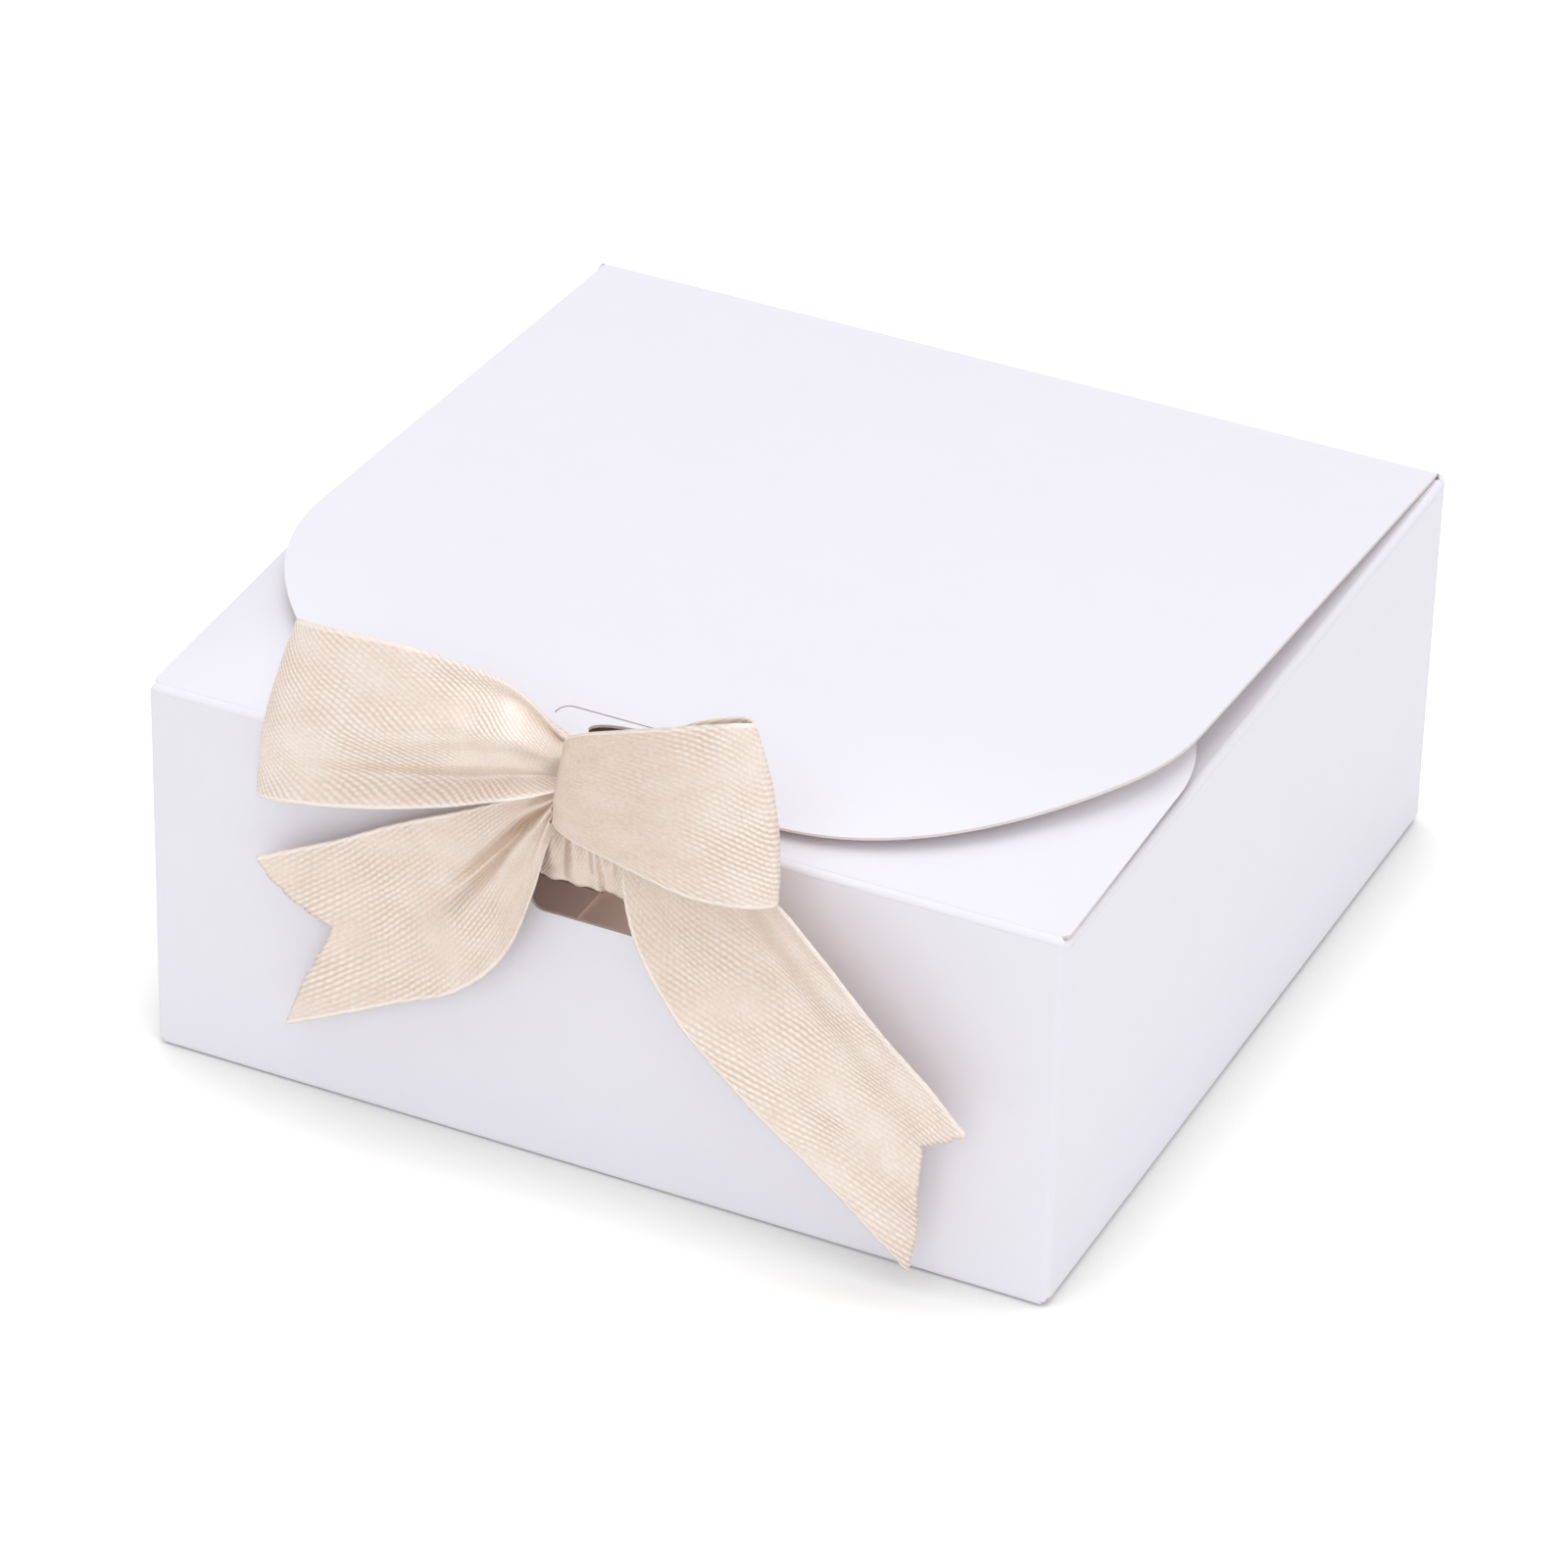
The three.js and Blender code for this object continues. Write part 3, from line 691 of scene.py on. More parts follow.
def make_bottom():
    half_front = side_face - FLAP_INSET
    half_side = front_face - FLAP_INSET
    tongue_half = TONGUE_WIDTH / 2
    edge = BOTTOM_DEPTH + TONGUE_RAMP + TONGUE_LENGTH
    tongue = [
        (tongue_half, BOTTOM_DEPTH),
        (tongue_half, edge),
        (-tongue_half, edge),
        (-tongue_half, BOTTOM_DEPTH),
    ]
    bm = foot_flap(half_front, BOTTOM_DEPTH, 0, BOTTOM_CORNER, tongue=tongue)
    for step in (BOTTOM_DEPTH, BOTTOM_DEPTH + TONGUE_RAMP):
        cut_line(bm, 1, step)
    for vert in bm.verts:
        climb = (vert.co.y - BOTTOM_DEPTH) / TONGUE_RAMP
        vert.co.z -= TONGUE_CLIMB * min(1, max(0, climb))
    place_bottom("base_flap_front", "bottom_front_flap", bm, 0, front_face, 0)

    notch_half = tongue_half + TONGUE_PLAY
    notch_end = front_face + back_face - BOTTOM_DEPTH - TONGUE_RAMP - TONGUE_PLAY
    x, y = notch_half - SLOT_CORNER, notch_end + SLOT_CORNER
    notch = [
        (notch_half, BOTTOM_DEPTH),
        *reversed(arc((x, y), SLOT_CORNER, 270, 360, SLOT_STEPS)),
        *reversed(arc((-x, y), SLOT_CORNER, 180, 270, SLOT_STEPS)),
        (-notch_half, BOTTOM_DEPTH),
    ]
    bm = foot_flap(half_front, BOTTOM_DEPTH, 0, BOTTOM_CORNER, tongue=notch)
    place_bottom("base_flap_back", "bottom_back_flap", bm, 180, back_face, 2 * BOARD)

    for name, node, angle in (
        ("base_flap_right", "bottom_right_flap", 90),
        ("base_flap_left", "bottom_left_flap", 270),
    ):
        bm = foot_flap(half_side, SIDE_FLAP_DEPTH, SIDE_FLAP_TAPER, BOTTOM_CORNER / 2)
        place_bottom(name, node, bm, angle, side_face, BOARD)


make_bottom()
print("the tongue reaches", (BOTTOM_DEPTH + TONGUE_RAMP + TONGUE_LENGTH) / MM, "mm from the front")

# %% [markdown]
# ## The top flaps
#
# The dust flaps lie lowest, then the front flap with its round rear corners, then the lid. Each is
# built flat from its crease and turned up by its own small rise, because folded card springs back.
# The front flap springs up too and is held down by the lid at its rear, so it bulges between.

# %% Dust flaps and front flap
DUST_FLAP_DEPTH = 35 * MM
DUST_FLAP_CORNER = 8 * MM
FRONT_FLAP_DEPTH = 56 * MM
FRONT_FLAP_CORNER = 22 * MM
FRONT_FLAP_CORNER_STEPS = 24
FRONT_FLAP_INSET = 0.15 * MM
FRONT_FLAP_RELIEF = 0.8 * MM  # length over which it widens from its crease
FLAP_SLOT_HALF = 8.5 * MM
FLAP_SLOT_SETBACK = 8.7 * MM
FLAP_SLOT_GAP = 7 * MM
FRONT_FLAP_BULGE = 2.2 * MM
FRONT_FLAP_CUTS = 24
FRONT_FLAP_FLAT_HALF = 46 * MM  # beyond it the sides droop on to the dust flaps
FRONT_FLAP_SIDE_DROOP = 0.02


def top_place(angle, distance, level, rise):
    return turn(angle, "Z") @ shift(0, -distance, level) @ turn(rise, "X")


def make_dust_flap(name, node, body, angle):
    start = crease_setback(DUST_FLAP_RISE)
    half = front_face - FLAP_INSET
    tip = half - DUST_FLAP_DEPTH
    radius = DUST_FLAP_CORNER / 2
    outline = [
        (-half, start),
        (half, start),
        (tip + DUST_FLAP_CORNER, DUST_FLAP_DEPTH - DUST_FLAP_CORNER),
        *round_end(tip, DUST_FLAP_DEPTH - radius, radius, SMALL_STEPS)[1:-1],
        (-tip - DUST_FLAP_CORNER, DUST_FLAP_DEPTH - DUST_FLAP_CORNER),
    ]
    place = top_place(angle, side_face, dust_crease, DUST_FLAP_RISE)
    piece = card_panel(name, flat_sheet(outline), place)
    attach(piece, body)
    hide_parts(node)


def make_front_flap():
    start = crease_setback(FRONT_FLAP_RISE)
    half = side_face - FRONT_FLAP_INSET
    x = half - FRONT_FLAP_CORNER
    y = FRONT_FLAP_DEPTH - FRONT_FLAP_CORNER
    crease_half = side_face - CREASE_RADIUS
    outline = [
        (-half, start + FRONT_FLAP_RELIEF),
        (-crease_half, start),
        (crease_half, start),
        (half, start + FRONT_FLAP_RELIEF),
        *round_end(x, y, FRONT_FLAP_CORNER, FRONT_FLAP_CORNER_STEPS),
    ]
    slot_end = FLAP_SLOT_SETBACK + FLAP_SLOT_GAP
    slot = rounded_slot(FLAP_SLOT_HALF, FLAP_SLOT_SETBACK, slot_end, SLOT_CORNER)
    bm = flat_sheet(outline, [slot])
    for share in np.linspace(0, 1, FRONT_FLAP_CUTS)[1:-1]:
        cut_line(bm, 0, half * (2 * share - 1))
        cut_line(bm, 1, start + share * (FRONT_FLAP_DEPTH - start))
    for vert in bm.verts:
        share = (vert.co.y - start) / (FRONT_FLAP_DEPTH - start)
        to_side = max(0, abs(vert.co.x) - FRONT_FLAP_FLAT_HALF) / (half - FRONT_FLAP_FLAT_HALF)
        bulge = 4 * FRONT_FLAP_BULGE * share * (1 - share)
        vert.co.z = bulge * (1 - to_side**2) - FRONT_FLAP_SIDE_DROOP * vert.co.y * to_side**2
    place = top_place(0, front_face, top_crease, FRONT_FLAP_RISE)
    piece = card_panel("tuck_flap_front", bm, place)
    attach(piece, "front_flap")
    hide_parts("front_flap")


make_dust_flap("tuck_flap_right", "right_dust_flap", "right_dust_flap", 90)
make_dust_flap("tuck_flap_left", "left_dust_flap", "left_dust_flap", 270)
make_front_flap()
print("the front flap reaches", FRONT_FLAP_DEPTH / MM, "mm in")

# %% Lid
LID_SIDE_INSET = 1.1 * MM
LID_SETBACK = 3.4 * MM
LID_CORNER = 38.5 * MM
LID_CORNER_STEPS = 40
LID_DROOP = 16.5  # degrees down, at the front edge
LID_BEND_START = 93 * MM  # from the back crease
LID_BEND_END = 115 * MM
LID_BEND_CUTS = 22
LID_SLIT_HALF = 11 * MM
LID_SLIT_SETBACK = 12.8 * MM
LID_SLIT_GAP = 0.18 * MM
LID_OPENING_PLACE = (-1 * MM, 110 * MM)  # from the middle, and from the back crease
LID_OPENING_SIZE = (7 * MM, 1.9 * MM)  # half its length and half its width
LID_OPENING_STEPS = 24


def lid_height(distance):
    """How high the lid's outer face is above the back crease, at a distance from it."""
    rise, droop = math.tan(math.radians(LID_RISE)), math.tan(math.radians(LID_DROOP))
    bent = max(0, min(distance, LID_BEND_END) - LID_BEND_START)
    past = max(0, distance - LID_BEND_END)
    bend = (rise + droop) / (LID_BEND_END - LID_BEND_START)
    return rise * min(distance, LID_BEND_END) - bend * bent**2 / 2 - droop * past


def lid_slit():
    """The thin cut with rounded ends that gives the ribbon room."""
    x = LID_SLIT_HALF - SLOT_CORNER
    y = front_face + back_face - LID_SLIT_SETBACK + SLOT_CORNER
    inside = SLOT_CORNER - LID_SLIT_GAP
    return [
        *arc((-x, y), SLOT_CORNER, 180, 270, SMALL_STEPS),
        *arc((x, y), SLOT_CORNER, 270, 360, SMALL_STEPS),
        *arc((x, y), inside, 360, 270, SMALL_STEPS),
        *arc((-x, y), inside, 270, 180, SMALL_STEPS),
    ]


def lid_opening():
    """Where the ribbon has pushed the card apart, behind the knot."""
    (x, y), (long, short) = LID_OPENING_PLACE, LID_OPENING_SIZE
    angles = np.linspace(0, 2 * math.pi, LID_OPENING_STEPS + 1)[:-1]
    return [(x + long * math.cos(a), y + short * math.sin(a)) for a in angles]


def make_lid():
    half = side_face - LID_SIDE_INSET
    length = front_face + back_face - LID_SETBACK
    x, y = half - LID_CORNER, length - LID_CORNER
    outline = [
        (-half, crease_setback(LID_RISE)),
        (half, crease_setback(LID_RISE)),
        *round_end(x, y, LID_CORNER, LID_CORNER_STEPS),
    ]
    bm = flat_sheet(outline, [lid_slit(), lid_opening()])
    for place in np.linspace(LID_BEND_START, LID_BEND_END, LID_BEND_CUTS):
        cut_line(bm, 1, place)
    for vert in bm.verts:
        vert.co.z = lid_height(vert.co.y)
    piece = card_panel("lid_panel", bm, turn(180, "Z") @ shift(0, -back_face, top_crease))
    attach(piece, "lid")
    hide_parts("lid")


make_lid()
print("the lid bends", LID_BEND_START / MM, "to", LID_BEND_END / MM, "mm from its crease")

# %% [markdown]
# ## Creases at the top
#
# A crease is where the card is pressed along a line, so that it folds in a small round instead of
# cracking. Each crease is a quarter round of card, made by spinning one edge, that joins the wall
# at one end to the flap at the other.

# %% Top creases


def make_crease(name, angle, distance, level, half, rise):
    setback = crease_setback(rise)
    bm = bmesh.new()
    ends = [bm.verts.new((x, 0, -setback)) for x in (-half, half)]
    edge = bm.edges.new(ends)
    roll_edge(bm, [edge], (0, CREASE_RADIUS, -setback), (1, 0, 0), rise - 90, CREASE_STEPS)
    place = turn(angle, "Z") @ shift(0, -distance, level)
    piece = card_panel(name, bm, place, outward=(0, -1, 1))
    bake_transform(piece)


wide, deep = side_face - CREASE_RADIUS, front_face - CREASE_RADIUS
lid_half = side_face - LID_SIDE_INSET
make_crease("crease_front", 0, front_face, top_crease, wide, FRONT_FLAP_RISE)
make_crease("crease_back", 180, back_face, top_crease, lid_half, LID_RISE)
make_crease("crease_right", 90, side_face, dust_crease, deep, DUST_FLAP_RISE)
make_crease("crease_left", 270, side_face, dust_crease, deep, DUST_FLAP_RISE)
print("creases have a radius of", CREASE_RADIUS / MM, "mm")

# %% [markdown]
# ## Satin
#
# The ribbon is a polyester satin with fine twill lines that run across it at a slant. Each line is
# a row of short floating threads, which shows as a string of small bright beads, clear in some
# patches and faint in others. A photograph of cloth would have to be bent to fit each fold, so
# three waves draw the pattern: one for the lines, and two that cross and set the beads of one line
# off from those of the next, like bricks. It has to follow the ribbon through its bends, so it
# reads the ribbon's own UV map, in ribbon widths: U along it and V across it. Where the ribbon is
# pulled tight the lines close up, so an attribute on the mesh says how far they show. The same
# attribute paints shade: where it is low, by the knot, the colour is darker. The slant turns
# over with the ribbon, so each part has its own: sideways per length.

# %% Node group: satin weave
ROWS_PER_WIDTH = 31.0
BEADS_PER_WIDTH = 25.0
ROW_SHARE, BEAD_SHARE, THREAD_LEVEL = 0.47, 0.23, 0.3  # of the threads' brightness
WANDER_SCALE, ROW_WANDER, BEAD_WANDER = 5.0, 0.03, 0.04  # no line is quite straight
PATCH_SCALE = 2.3
PATCHES = {"From Min": 0.36, "From Max": 0.62, "To Min": 0.12}  # where lines are faint or clear
YARN_SCALE, YARN_GLOSS, YARN_HEIGHT = 55.0, 0.16, 0.35
CLOUDY_SCALE = 7.0
SELVEDGE = 0.022  # share of the width
TONE_LEVEL = 0.3
# How far each moves the colour from light to dark. Where the weave's attribute is low the colour
# goes darker, which is painted shade.
TONES = {"cloudy": 0.4, "yarn": 0.6, "woven_and_shade": -0.5, "shown": 0.35, "threads": -0.9, "edge": -0.4}


def add_wave(tree, value, waves):
    """A wave between -1 and 1, with so many waves for each unit of the value."""
    return add_sum(tree, "COSINE", add_sum(tree, "MULTIPLY", value, 2 * math.pi * waves))


def make_satin_group():
    tree, given, wanted = new_group(
        "satin_weave",
        {
            "Light": ("Color", (1, 1, 1, 1)),
            "Dark": ("Color", (0.8, 0.8, 0.8, 1)),
            "Roughness": ("Float", 0.4),
            "Slant": ("Float", 0.5),
        },
    )
    uv = add_node(tree, "UVMap", uv_map="UVMap").outputs[0]
    flat = add_node(tree, "SeparateXYZ", {0: uv}).outputs
    wander = add_spots(tree, uv, WANDER_SCALE, 2.0)
    slanted = add_sum(tree, "MULTIPLY_ADD", flat["X"], given["Slant"], flat["Y"])
    bent = add_sum(tree, "MULTIPLY_ADD", wander, ROW_WANDER, slanted)
    rows = add_wave(tree, bent, ROWS_PER_WIDTH)
    every_other = add_wave(tree, bent, ROWS_PER_WIDTH / 2)
    back = add_sum(tree, "MULTIPLY", add_sum(tree, "MULTIPLY", given["Slant"], -1.0), flat["Y"])
    straight = add_sum(tree, "ADD", flat["X"], back)
    crossing = add_sum(tree, "MULTIPLY_ADD", wander, BEAD_WANDER, straight)
    bricks = add_sum(tree, "MULTIPLY", every_other, add_wave(tree, crossing, BEADS_PER_WIDTH))
    level = add_sum(tree, "MULTIPLY_ADD", bricks, BEAD_SHARE, THREAD_LEVEL)
    beads = add_sum(tree, "MULTIPLY_ADD", rows, ROW_SHARE, level)
    patches = add_spots(tree, uv, PATCH_SCALE, 1.0)
    clear = add_node(tree, "MapRange", {"Value": patches, **PATCHES}).outputs[0]
    # the weave's attribute; where it is low it also darkens the colour, as painted shade by the knot
    woven_and_shade = add_node(tree, "Attribute", attribute_name="woven_and_shade").outputs["Fac"]
    shown = add_sum(tree, "MULTIPLY", clear, woven_and_shade)
    threads = add_sum(tree, "MULTIPLY", beads, shown)
    yarn = add_spots(tree, uv, YARN_SCALE, 3.0)
    cloudy = add_spots(tree, uv, CLOUDY_SCALE, 2.0)
    from_middle = add_sum(tree, "ABSOLUTE", add_sum(tree, "SUBTRACT", flat["Y"], 0.5))
    edge = add_sum(tree, "GREATER_THAN", from_middle, 0.5 - SELVEDGE)
    tone = TONE_LEVEL
    for part, weight in zip((cloudy, yarn, woven_and_shade, shown, threads, edge), TONES.values()):
        tone = add_sum(tree, "MULTIPLY_ADD", part, weight, tone)
    clamped = add_sum(tree, "MAXIMUM", add_sum(tree, "MINIMUM", tone, 1.0), 0.0)
    plug(tree, wanted["Color"], add_mix(tree, clamped, given["Light"], given["Dark"]))
    rough = add_sum(tree, "MULTIPLY_ADD", yarn, YARN_GLOSS, given["Roughness"])
    plug(tree, wanted["Roughness"], rough)
    plug(tree, wanted["Height"], add_sum(tree, "MULTIPLY_ADD", yarn, YARN_HEIGHT, threads))
    return tree


satin_weave = make_satin_group()
print("rows of threads across the ribbon:", ROWS_PER_WIDTH)

# %% Satin materials
SATIN_COLOURS = {"Light": (0.97, 0.855, 0.775, 1), "Dark": (0.60, 0.40, 0.255, 1)}
SATIN_SHINE = {"IOR": 2.0, "Specular IOR Level": 0.8, "Sheen Weight": 0.15, "Sheen Roughness": 0.4}
SATIN_ROUGHNESS = 0.3
SATIN_BUMP = 0.8, 0.09 * MM  # strength, height


def new_satin(name, slant):
    look = {**SATIN_COLOURS, "Roughness": SATIN_ROUGHNESS, "Slant": slant}
    return new_material(name, satin_weave, look, *SATIN_BUMP, SATIN_SHINE)


satin_face = new_satin("satin_face", 0.8)
satin_turned = new_satin("satin_turned", -0.45)
satin_left_tail = new_satin("satin_left_tail", -0.3)
satin_right_tail = new_satin("satin_right_tail", 0.5)
print("satin materials ready")

# %% [markdown]
# ## Laying ribbon
#
# A flat grid stands for a length of ribbon. Its long way follows a smooth curve through a few
# stations, and its cross way is spread, gathered and folded at each one. A cloth simulation could
# tie a bow too, but it wouldn't tie this one; a length that is laid through listed stations can be
# matched to the picture fold by fold.
#
# A station is [right, out, up, spread, side, lean, crown], in mm and degrees: the middle of the
# ribbon from the middle of the front crease, the share of the width that is spread, how its width
# leans sideways and back, and how far its middle bulges.

# %% Ribbon helpers
RIBBON_WIDTH = 25  # mm
RIBBON_THICKNESS = 0.28
ALONG_STEP = 0.5
ACROSS_STEPS = 64
LOOK_AHEAD = 0.0025  # share of the length, to see which way the ribbon runs


def between(rows, share):
    """The rows at shares of the way along a smooth curve through all of them."""
    last = len(rows) - 1
    place = np.clip(share, 0, 1) * last
    i = np.minimum(place.astype(int), last - 1)
    t = (place - i)[:, None]
    a, b, c, d = rows[np.maximum(i - 1, 0)], rows[i], rows[i + 1], rows[np.minimum(i + 2, last)]
    squared, cubed = 2 * a - 5 * b + 4 * c - d, 3 * b - a - 3 * c + d
    return 0.5 * (2 * b + (c - a) * t + squared * t**2 + cubed * t**3)


def bow_frame(rows, share):
    """The ribbon's middle, the way to its upper edge, and its crown, at shares of its length."""
    right, out, up, spread, side, lean, crown = between(rows, share).T
    side, lean = np.radians(side), np.radians(lean)
    middle = np.stack((right, -front_face / MM - out, top_crease / MM + up), axis=1)
    upwards = (np.sin(side) * np.cos(lean), np.sin(lean), np.cos(side) * np.cos(lean))
    to_edge = np.stack(upwards, axis=1) * (spread * RIBBON_WIDTH / 2)[:, None]
    return middle, to_edge, crown


def along(values, share):
    """Values that are evenly spaced along the ribbon, read between them."""
    return np.interp(share, np.linspace(0, 1, len(values)), values)


def fold_height(folds, pleats, share, across):
    """Height of the folds. Each is (its places across, its width, its depths along the ribbon).
    Pleats are (how many, their depths along the ribbon)."""
    number, depths = pleats
    height = along(depths, share) * (0.5 - 0.5 * np.cos(2 * math.pi * number * across))
    for places, width, depths in folds:
        height += along(depths, share) * np.exp(-(((across - along(places, share)) / width) ** 2))
    return height


def ribbon_points(rows, folds, pleats, share, across, uneven):
    """Where the points of the laid ribbon are, in mm."""
    middle, to_edge, crown = bow_frame(rows, share)
    ahead = bow_frame(rows, share + LOOK_AHEAD)[0] - bow_frame(rows, share - LOOK_AHEAD)[0]
    facing = np.cross(to_edge, ahead)
    facing /= np.linalg.norm(facing, axis=1, keepdims=True)
    folded = fold_height(folds, pleats, share, across)
    height = crown * (1 - (2 * across - 1) ** 2) + folded + uneven
    return middle + to_edge * (1 - 2 * across)[:, None] + facing * height[:, None]


print("ribbon width in mm:", RIBBON_WIDTH)

# %% Laying a length
FRAY = 0.22  # mm, how far the threads stand out at a cut end
FRAY_NOISES = ((46, 0.5), (19, 3.5))  # how many waves across, and where in the noise
CRINKLE = 0.1  # mm, how uneven the cloth lies
CRINKLE_SIZE = 2.4  # mm
CRINKLE_LEVEL = 7.5  # where in the noise
LENGTH_POINTS = 201
AREA_POINTS = 101
KNOT = "bow_knot"


def ribbon_length(rows):
    middles = bow_frame(rows, np.linspace(0, 1, LENGTH_POINTS))[0]
    return float(np.linalg.norm(np.diff(middles, axis=0), axis=1).sum())


def fray(across):
    """Ragged ends of the threads along a cut."""
    return np.array([sum(noise.noise((a * n, at, 0)) for n, at in FRAY_NOISES) for a in across])


def crinkle(share, across, length):
    """The small unevenness of cloth that isn't pressed."""
    places = zip(share * length / CRINKLE_SIZE, across * RIBBON_WIDTH / CRINKLE_SIZE)
    return np.array([CRINKLE * noise.noise((a, b, CRINKLE_LEVEL)) for a, b in places])


def lay_ribbon(
    name, node, body, finish, stations,
    folds, pleats, cut=None, woven_and_shade=(1,), steps=ACROSS_STEPS,
):
    """Lays a length of ribbon through its stations. cut says where it ends, as a share of its
    length, at a place across it; body is what holds it, and the weave's values along it how far its
    weave shows. Where they are low, painted shade darkens the ribbon too."""
    rows = np.array(stations, float)
    length = ribbon_length(rows)
    bm = bmesh.new()
    uv_layer = bm.loops.layers.uv.new("UVMap")
    woven_and_shade_layer = bm.verts.layers.float.new("woven_and_shade")
    along_steps = round(length / ALONG_STEP)
    bmesh.ops.create_grid(bm, x_segments=along_steps, y_segments=steps, size=0.5, calc_uvs=True)
    share = np.array([vert.co.x + 0.5 for vert in bm.verts])
    across = np.array([vert.co.y + 0.5 for vert in bm.verts])
    flat_area = RIBBON_WIDTH * length
    if cut:
        ends = cut(across)
        flat_area *= float(cut(np.linspace(0, 1, AREA_POINTS)).mean())
        share = share * (ends + FRAY / length * fray(across))
    points = ribbon_points(rows, folds, pleats, share, across, crinkle(share, across, length))
    # how far the weave shows along the ribbon, which also sets how far painted shade darkens it
    shown = along(woven_and_shade, share)
    bm.verts.index_update()
    for face in bm.faces:
        for loop in face.loops:
            i = loop.vert.index
            loop[uv_layer].uv = (share[i] * length / RIBBON_WIDTH, across[i])
    for vert, point, weave_and_shade in zip(bm.verts, points, shown):
        vert.co = Vector(point) * MM
        vert[woven_and_shade_layer] = weave_and_shade
    laid_area = sum(face.calc_area() for face in bm.faces) / MM**2
    piece = add_object(name, bm, [finish])
    add_thickness(piece, RIBBON_THICKNESS * MM, 0, False)
    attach(piece, body)
    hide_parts(node)
    print(f"{name}: {length:.0f} mm of ribbon, {laid_area / flat_area:.2f} of it spread")


# %% [markdown]
# ## The bow
#
# The left loop starts at the knot, runs left in front, turns and comes back behind. Towards the
# knot it is gathered: a bright ridge runs into the knot with a hollow under it, and its lower rim
# rolls forward. The right loop starts as the wrap over the knot and opens to the right. The tails
# hang down the front wall and end in a V cut. Two gathered strands join the bow to the box: one
# goes through the lid, and one leaves the front wall's slot.

# %% Left loop
LEFT_LOOP = [
    [-2.8, 3.2, 7.5, 0.26, 0, 8, 0.2],
    [-8, 4.6, 9.2, 0.52, 0, 12, 0.8],
    [-14.5, 4.4, 8.4, 0.68, 3, 12, 1.2],
    [-25, 4.1, 6.7, 0.84, 5, 10, 1.2],
    [-36.5, 3.6, 4.7, 0.95, 8, 8, 1],
    [-41, 2, 3.4, 0.98, 10, 7, 1.1],
    [-37.5, 0.2, 3.1, 0.9, 10, 6, 0.4],
    [-25.7, 0, 4.6, 0.74, 4, 7, 0],
    [-14.2, 0.1, 6.1, 0.54, 2, 9, 0],
    [-8, 0.5, 6.9, 0.36, 0, 12, 0],
    [-2.8, 0.8, 6.9, 0.2, 0, 13, 0],
]
LEFT_LOOP_FOLDS = [
    ([0.36, 0.42, 0.56, 0.54, 0.42, 0.4], 0.13, [1.2, 2.0, 2.2, 1.6, 0.5, 0, 0, 0, 0, 0, 0]),
    ([0.8, 0.82, 0.82, 0.76, 0.72, 0.7], 0.08, [-0.8, -1.5, -1.7, -1.4, -0.7, 0, 0, 0, 0, 0, 0]),
    ([1.0], 0.07, [0.9, 1.6, 1.9, 1.6, 0.9, 0, 0, 0, 0, 0, 0]),
    ([0.12, 0.14, 0.16], 0.07, [-0.7, -1.0, -0.5, 0, 0, 0, 0, 0, 0, 0, 0]),
]
LEFT_LOOP_PLEATS = (3, [0, 0, 0, 0, 0, 0, -1.2, -2.2, -2.4, -2.2, -1.5])
lay_ribbon(
    "loop_left", "bow_left_loop", "lid", satin_face, LEFT_LOOP,
    LEFT_LOOP_FOLDS, LEFT_LOOP_PLEATS,
)

# %% Right loop
RIGHT_LOOP = [
    [-1.9, 5.5, 6.4, 0.47, 8, 0, -0.5],
    [0.3, 6.4, 6.9, 0.59, 3, 0, -0.7],
    [7, 7.2, 7.9, 0.74, 2, 1, -0.5],
    [15.2, 7.9, 8.8, 0.9, -2, 2, -0.3],
    [22.1, 8.4, 10.5, 0.94, -8, 4, -0.7],
    [25.3, 7.4, 11.2, 0.92, -11, 4, -1.3],
    [22.5, 5.8, 10.7, 0.89, -9, 4, -0.5],
    [14.8, 5.1, 9, 0.78, -2, 4, 0],
    [9, 4.3, 8, 0.5, 0, 5, 0],
    [5.9, 3.2, 7, 0.2, 0, 8, 0],
]
RIGHT_LOOP_PLEATS = (3, [0, 0, 0, 0, 0, 0, 0.3, 1.2, 1.8, 1.5])
# By the knot the weave's attribute is low, which darkens the loop there as painted shade.
lay_ribbon(
    "loop_right", "bow_right_loop", "lid", satin_turned, RIGHT_LOOP,
    (), RIGHT_LOOP_PLEATS, woven_and_shade=[0, 0.1, 0.3, 1, 1, 1, 1, 1],
)

# %% Left tail
TAIL_NOTCH = 0.14  # share of the length
TAIL_STEPS = 88


def notched(upper_end, notch, notch_across):
    """The V cut at a tail's end, from its upper edge over the notch to its lower edge."""
    return lambda across: np.interp(across, [0, notch_across, 1], [upper_end, notch, 1])


LEFT_TAIL = [
    [-2.9, 3.7, 1.7, 0.2, 5, 7, 0],
    [-7.3, 3.8, -5, 0.47, -17, 12, -0.4],
    [-13, 3.4, -12.2, 0.74, -22, 7, -0.8],
    [-20.8, 2.9, -18.4, 0.9, -22, 3, -0.8],
    [-30, 2.8, -23.5, 0.9, -21, 0, -0.5],
    [-42, 3, -29.6, 0.94, -9, 0, 0],
]
LEFT_TAIL_FOLDS = [
    ([0.28, 0.3, 0.4, 0.52, 0.6, 0.6], 0.07, [-0.8, -2.1, -1.8, -0.5, 0, 0]),
    ([0.46, 0.5, 0.58, 0.7, 0.7, 0.7], 0.12, [1.2, 2.1, 1.7, 0.5, 0, 0]),
]
# Lower weave values by the knot darken the tail there as painted shade.
lay_ribbon(
    "tail_left", "left_tail", "lid", satin_left_tail, LEFT_TAIL,
    LEFT_TAIL_FOLDS, (2, [1.5, 0.3, 0, 0, 0, 0]),
    cut=notched(1, 1 - TAIL_NOTCH, 0.5), woven_and_shade=[0.4, 0.5, 0.75, 0.75, 0.8], steps=TAIL_STEPS,
)

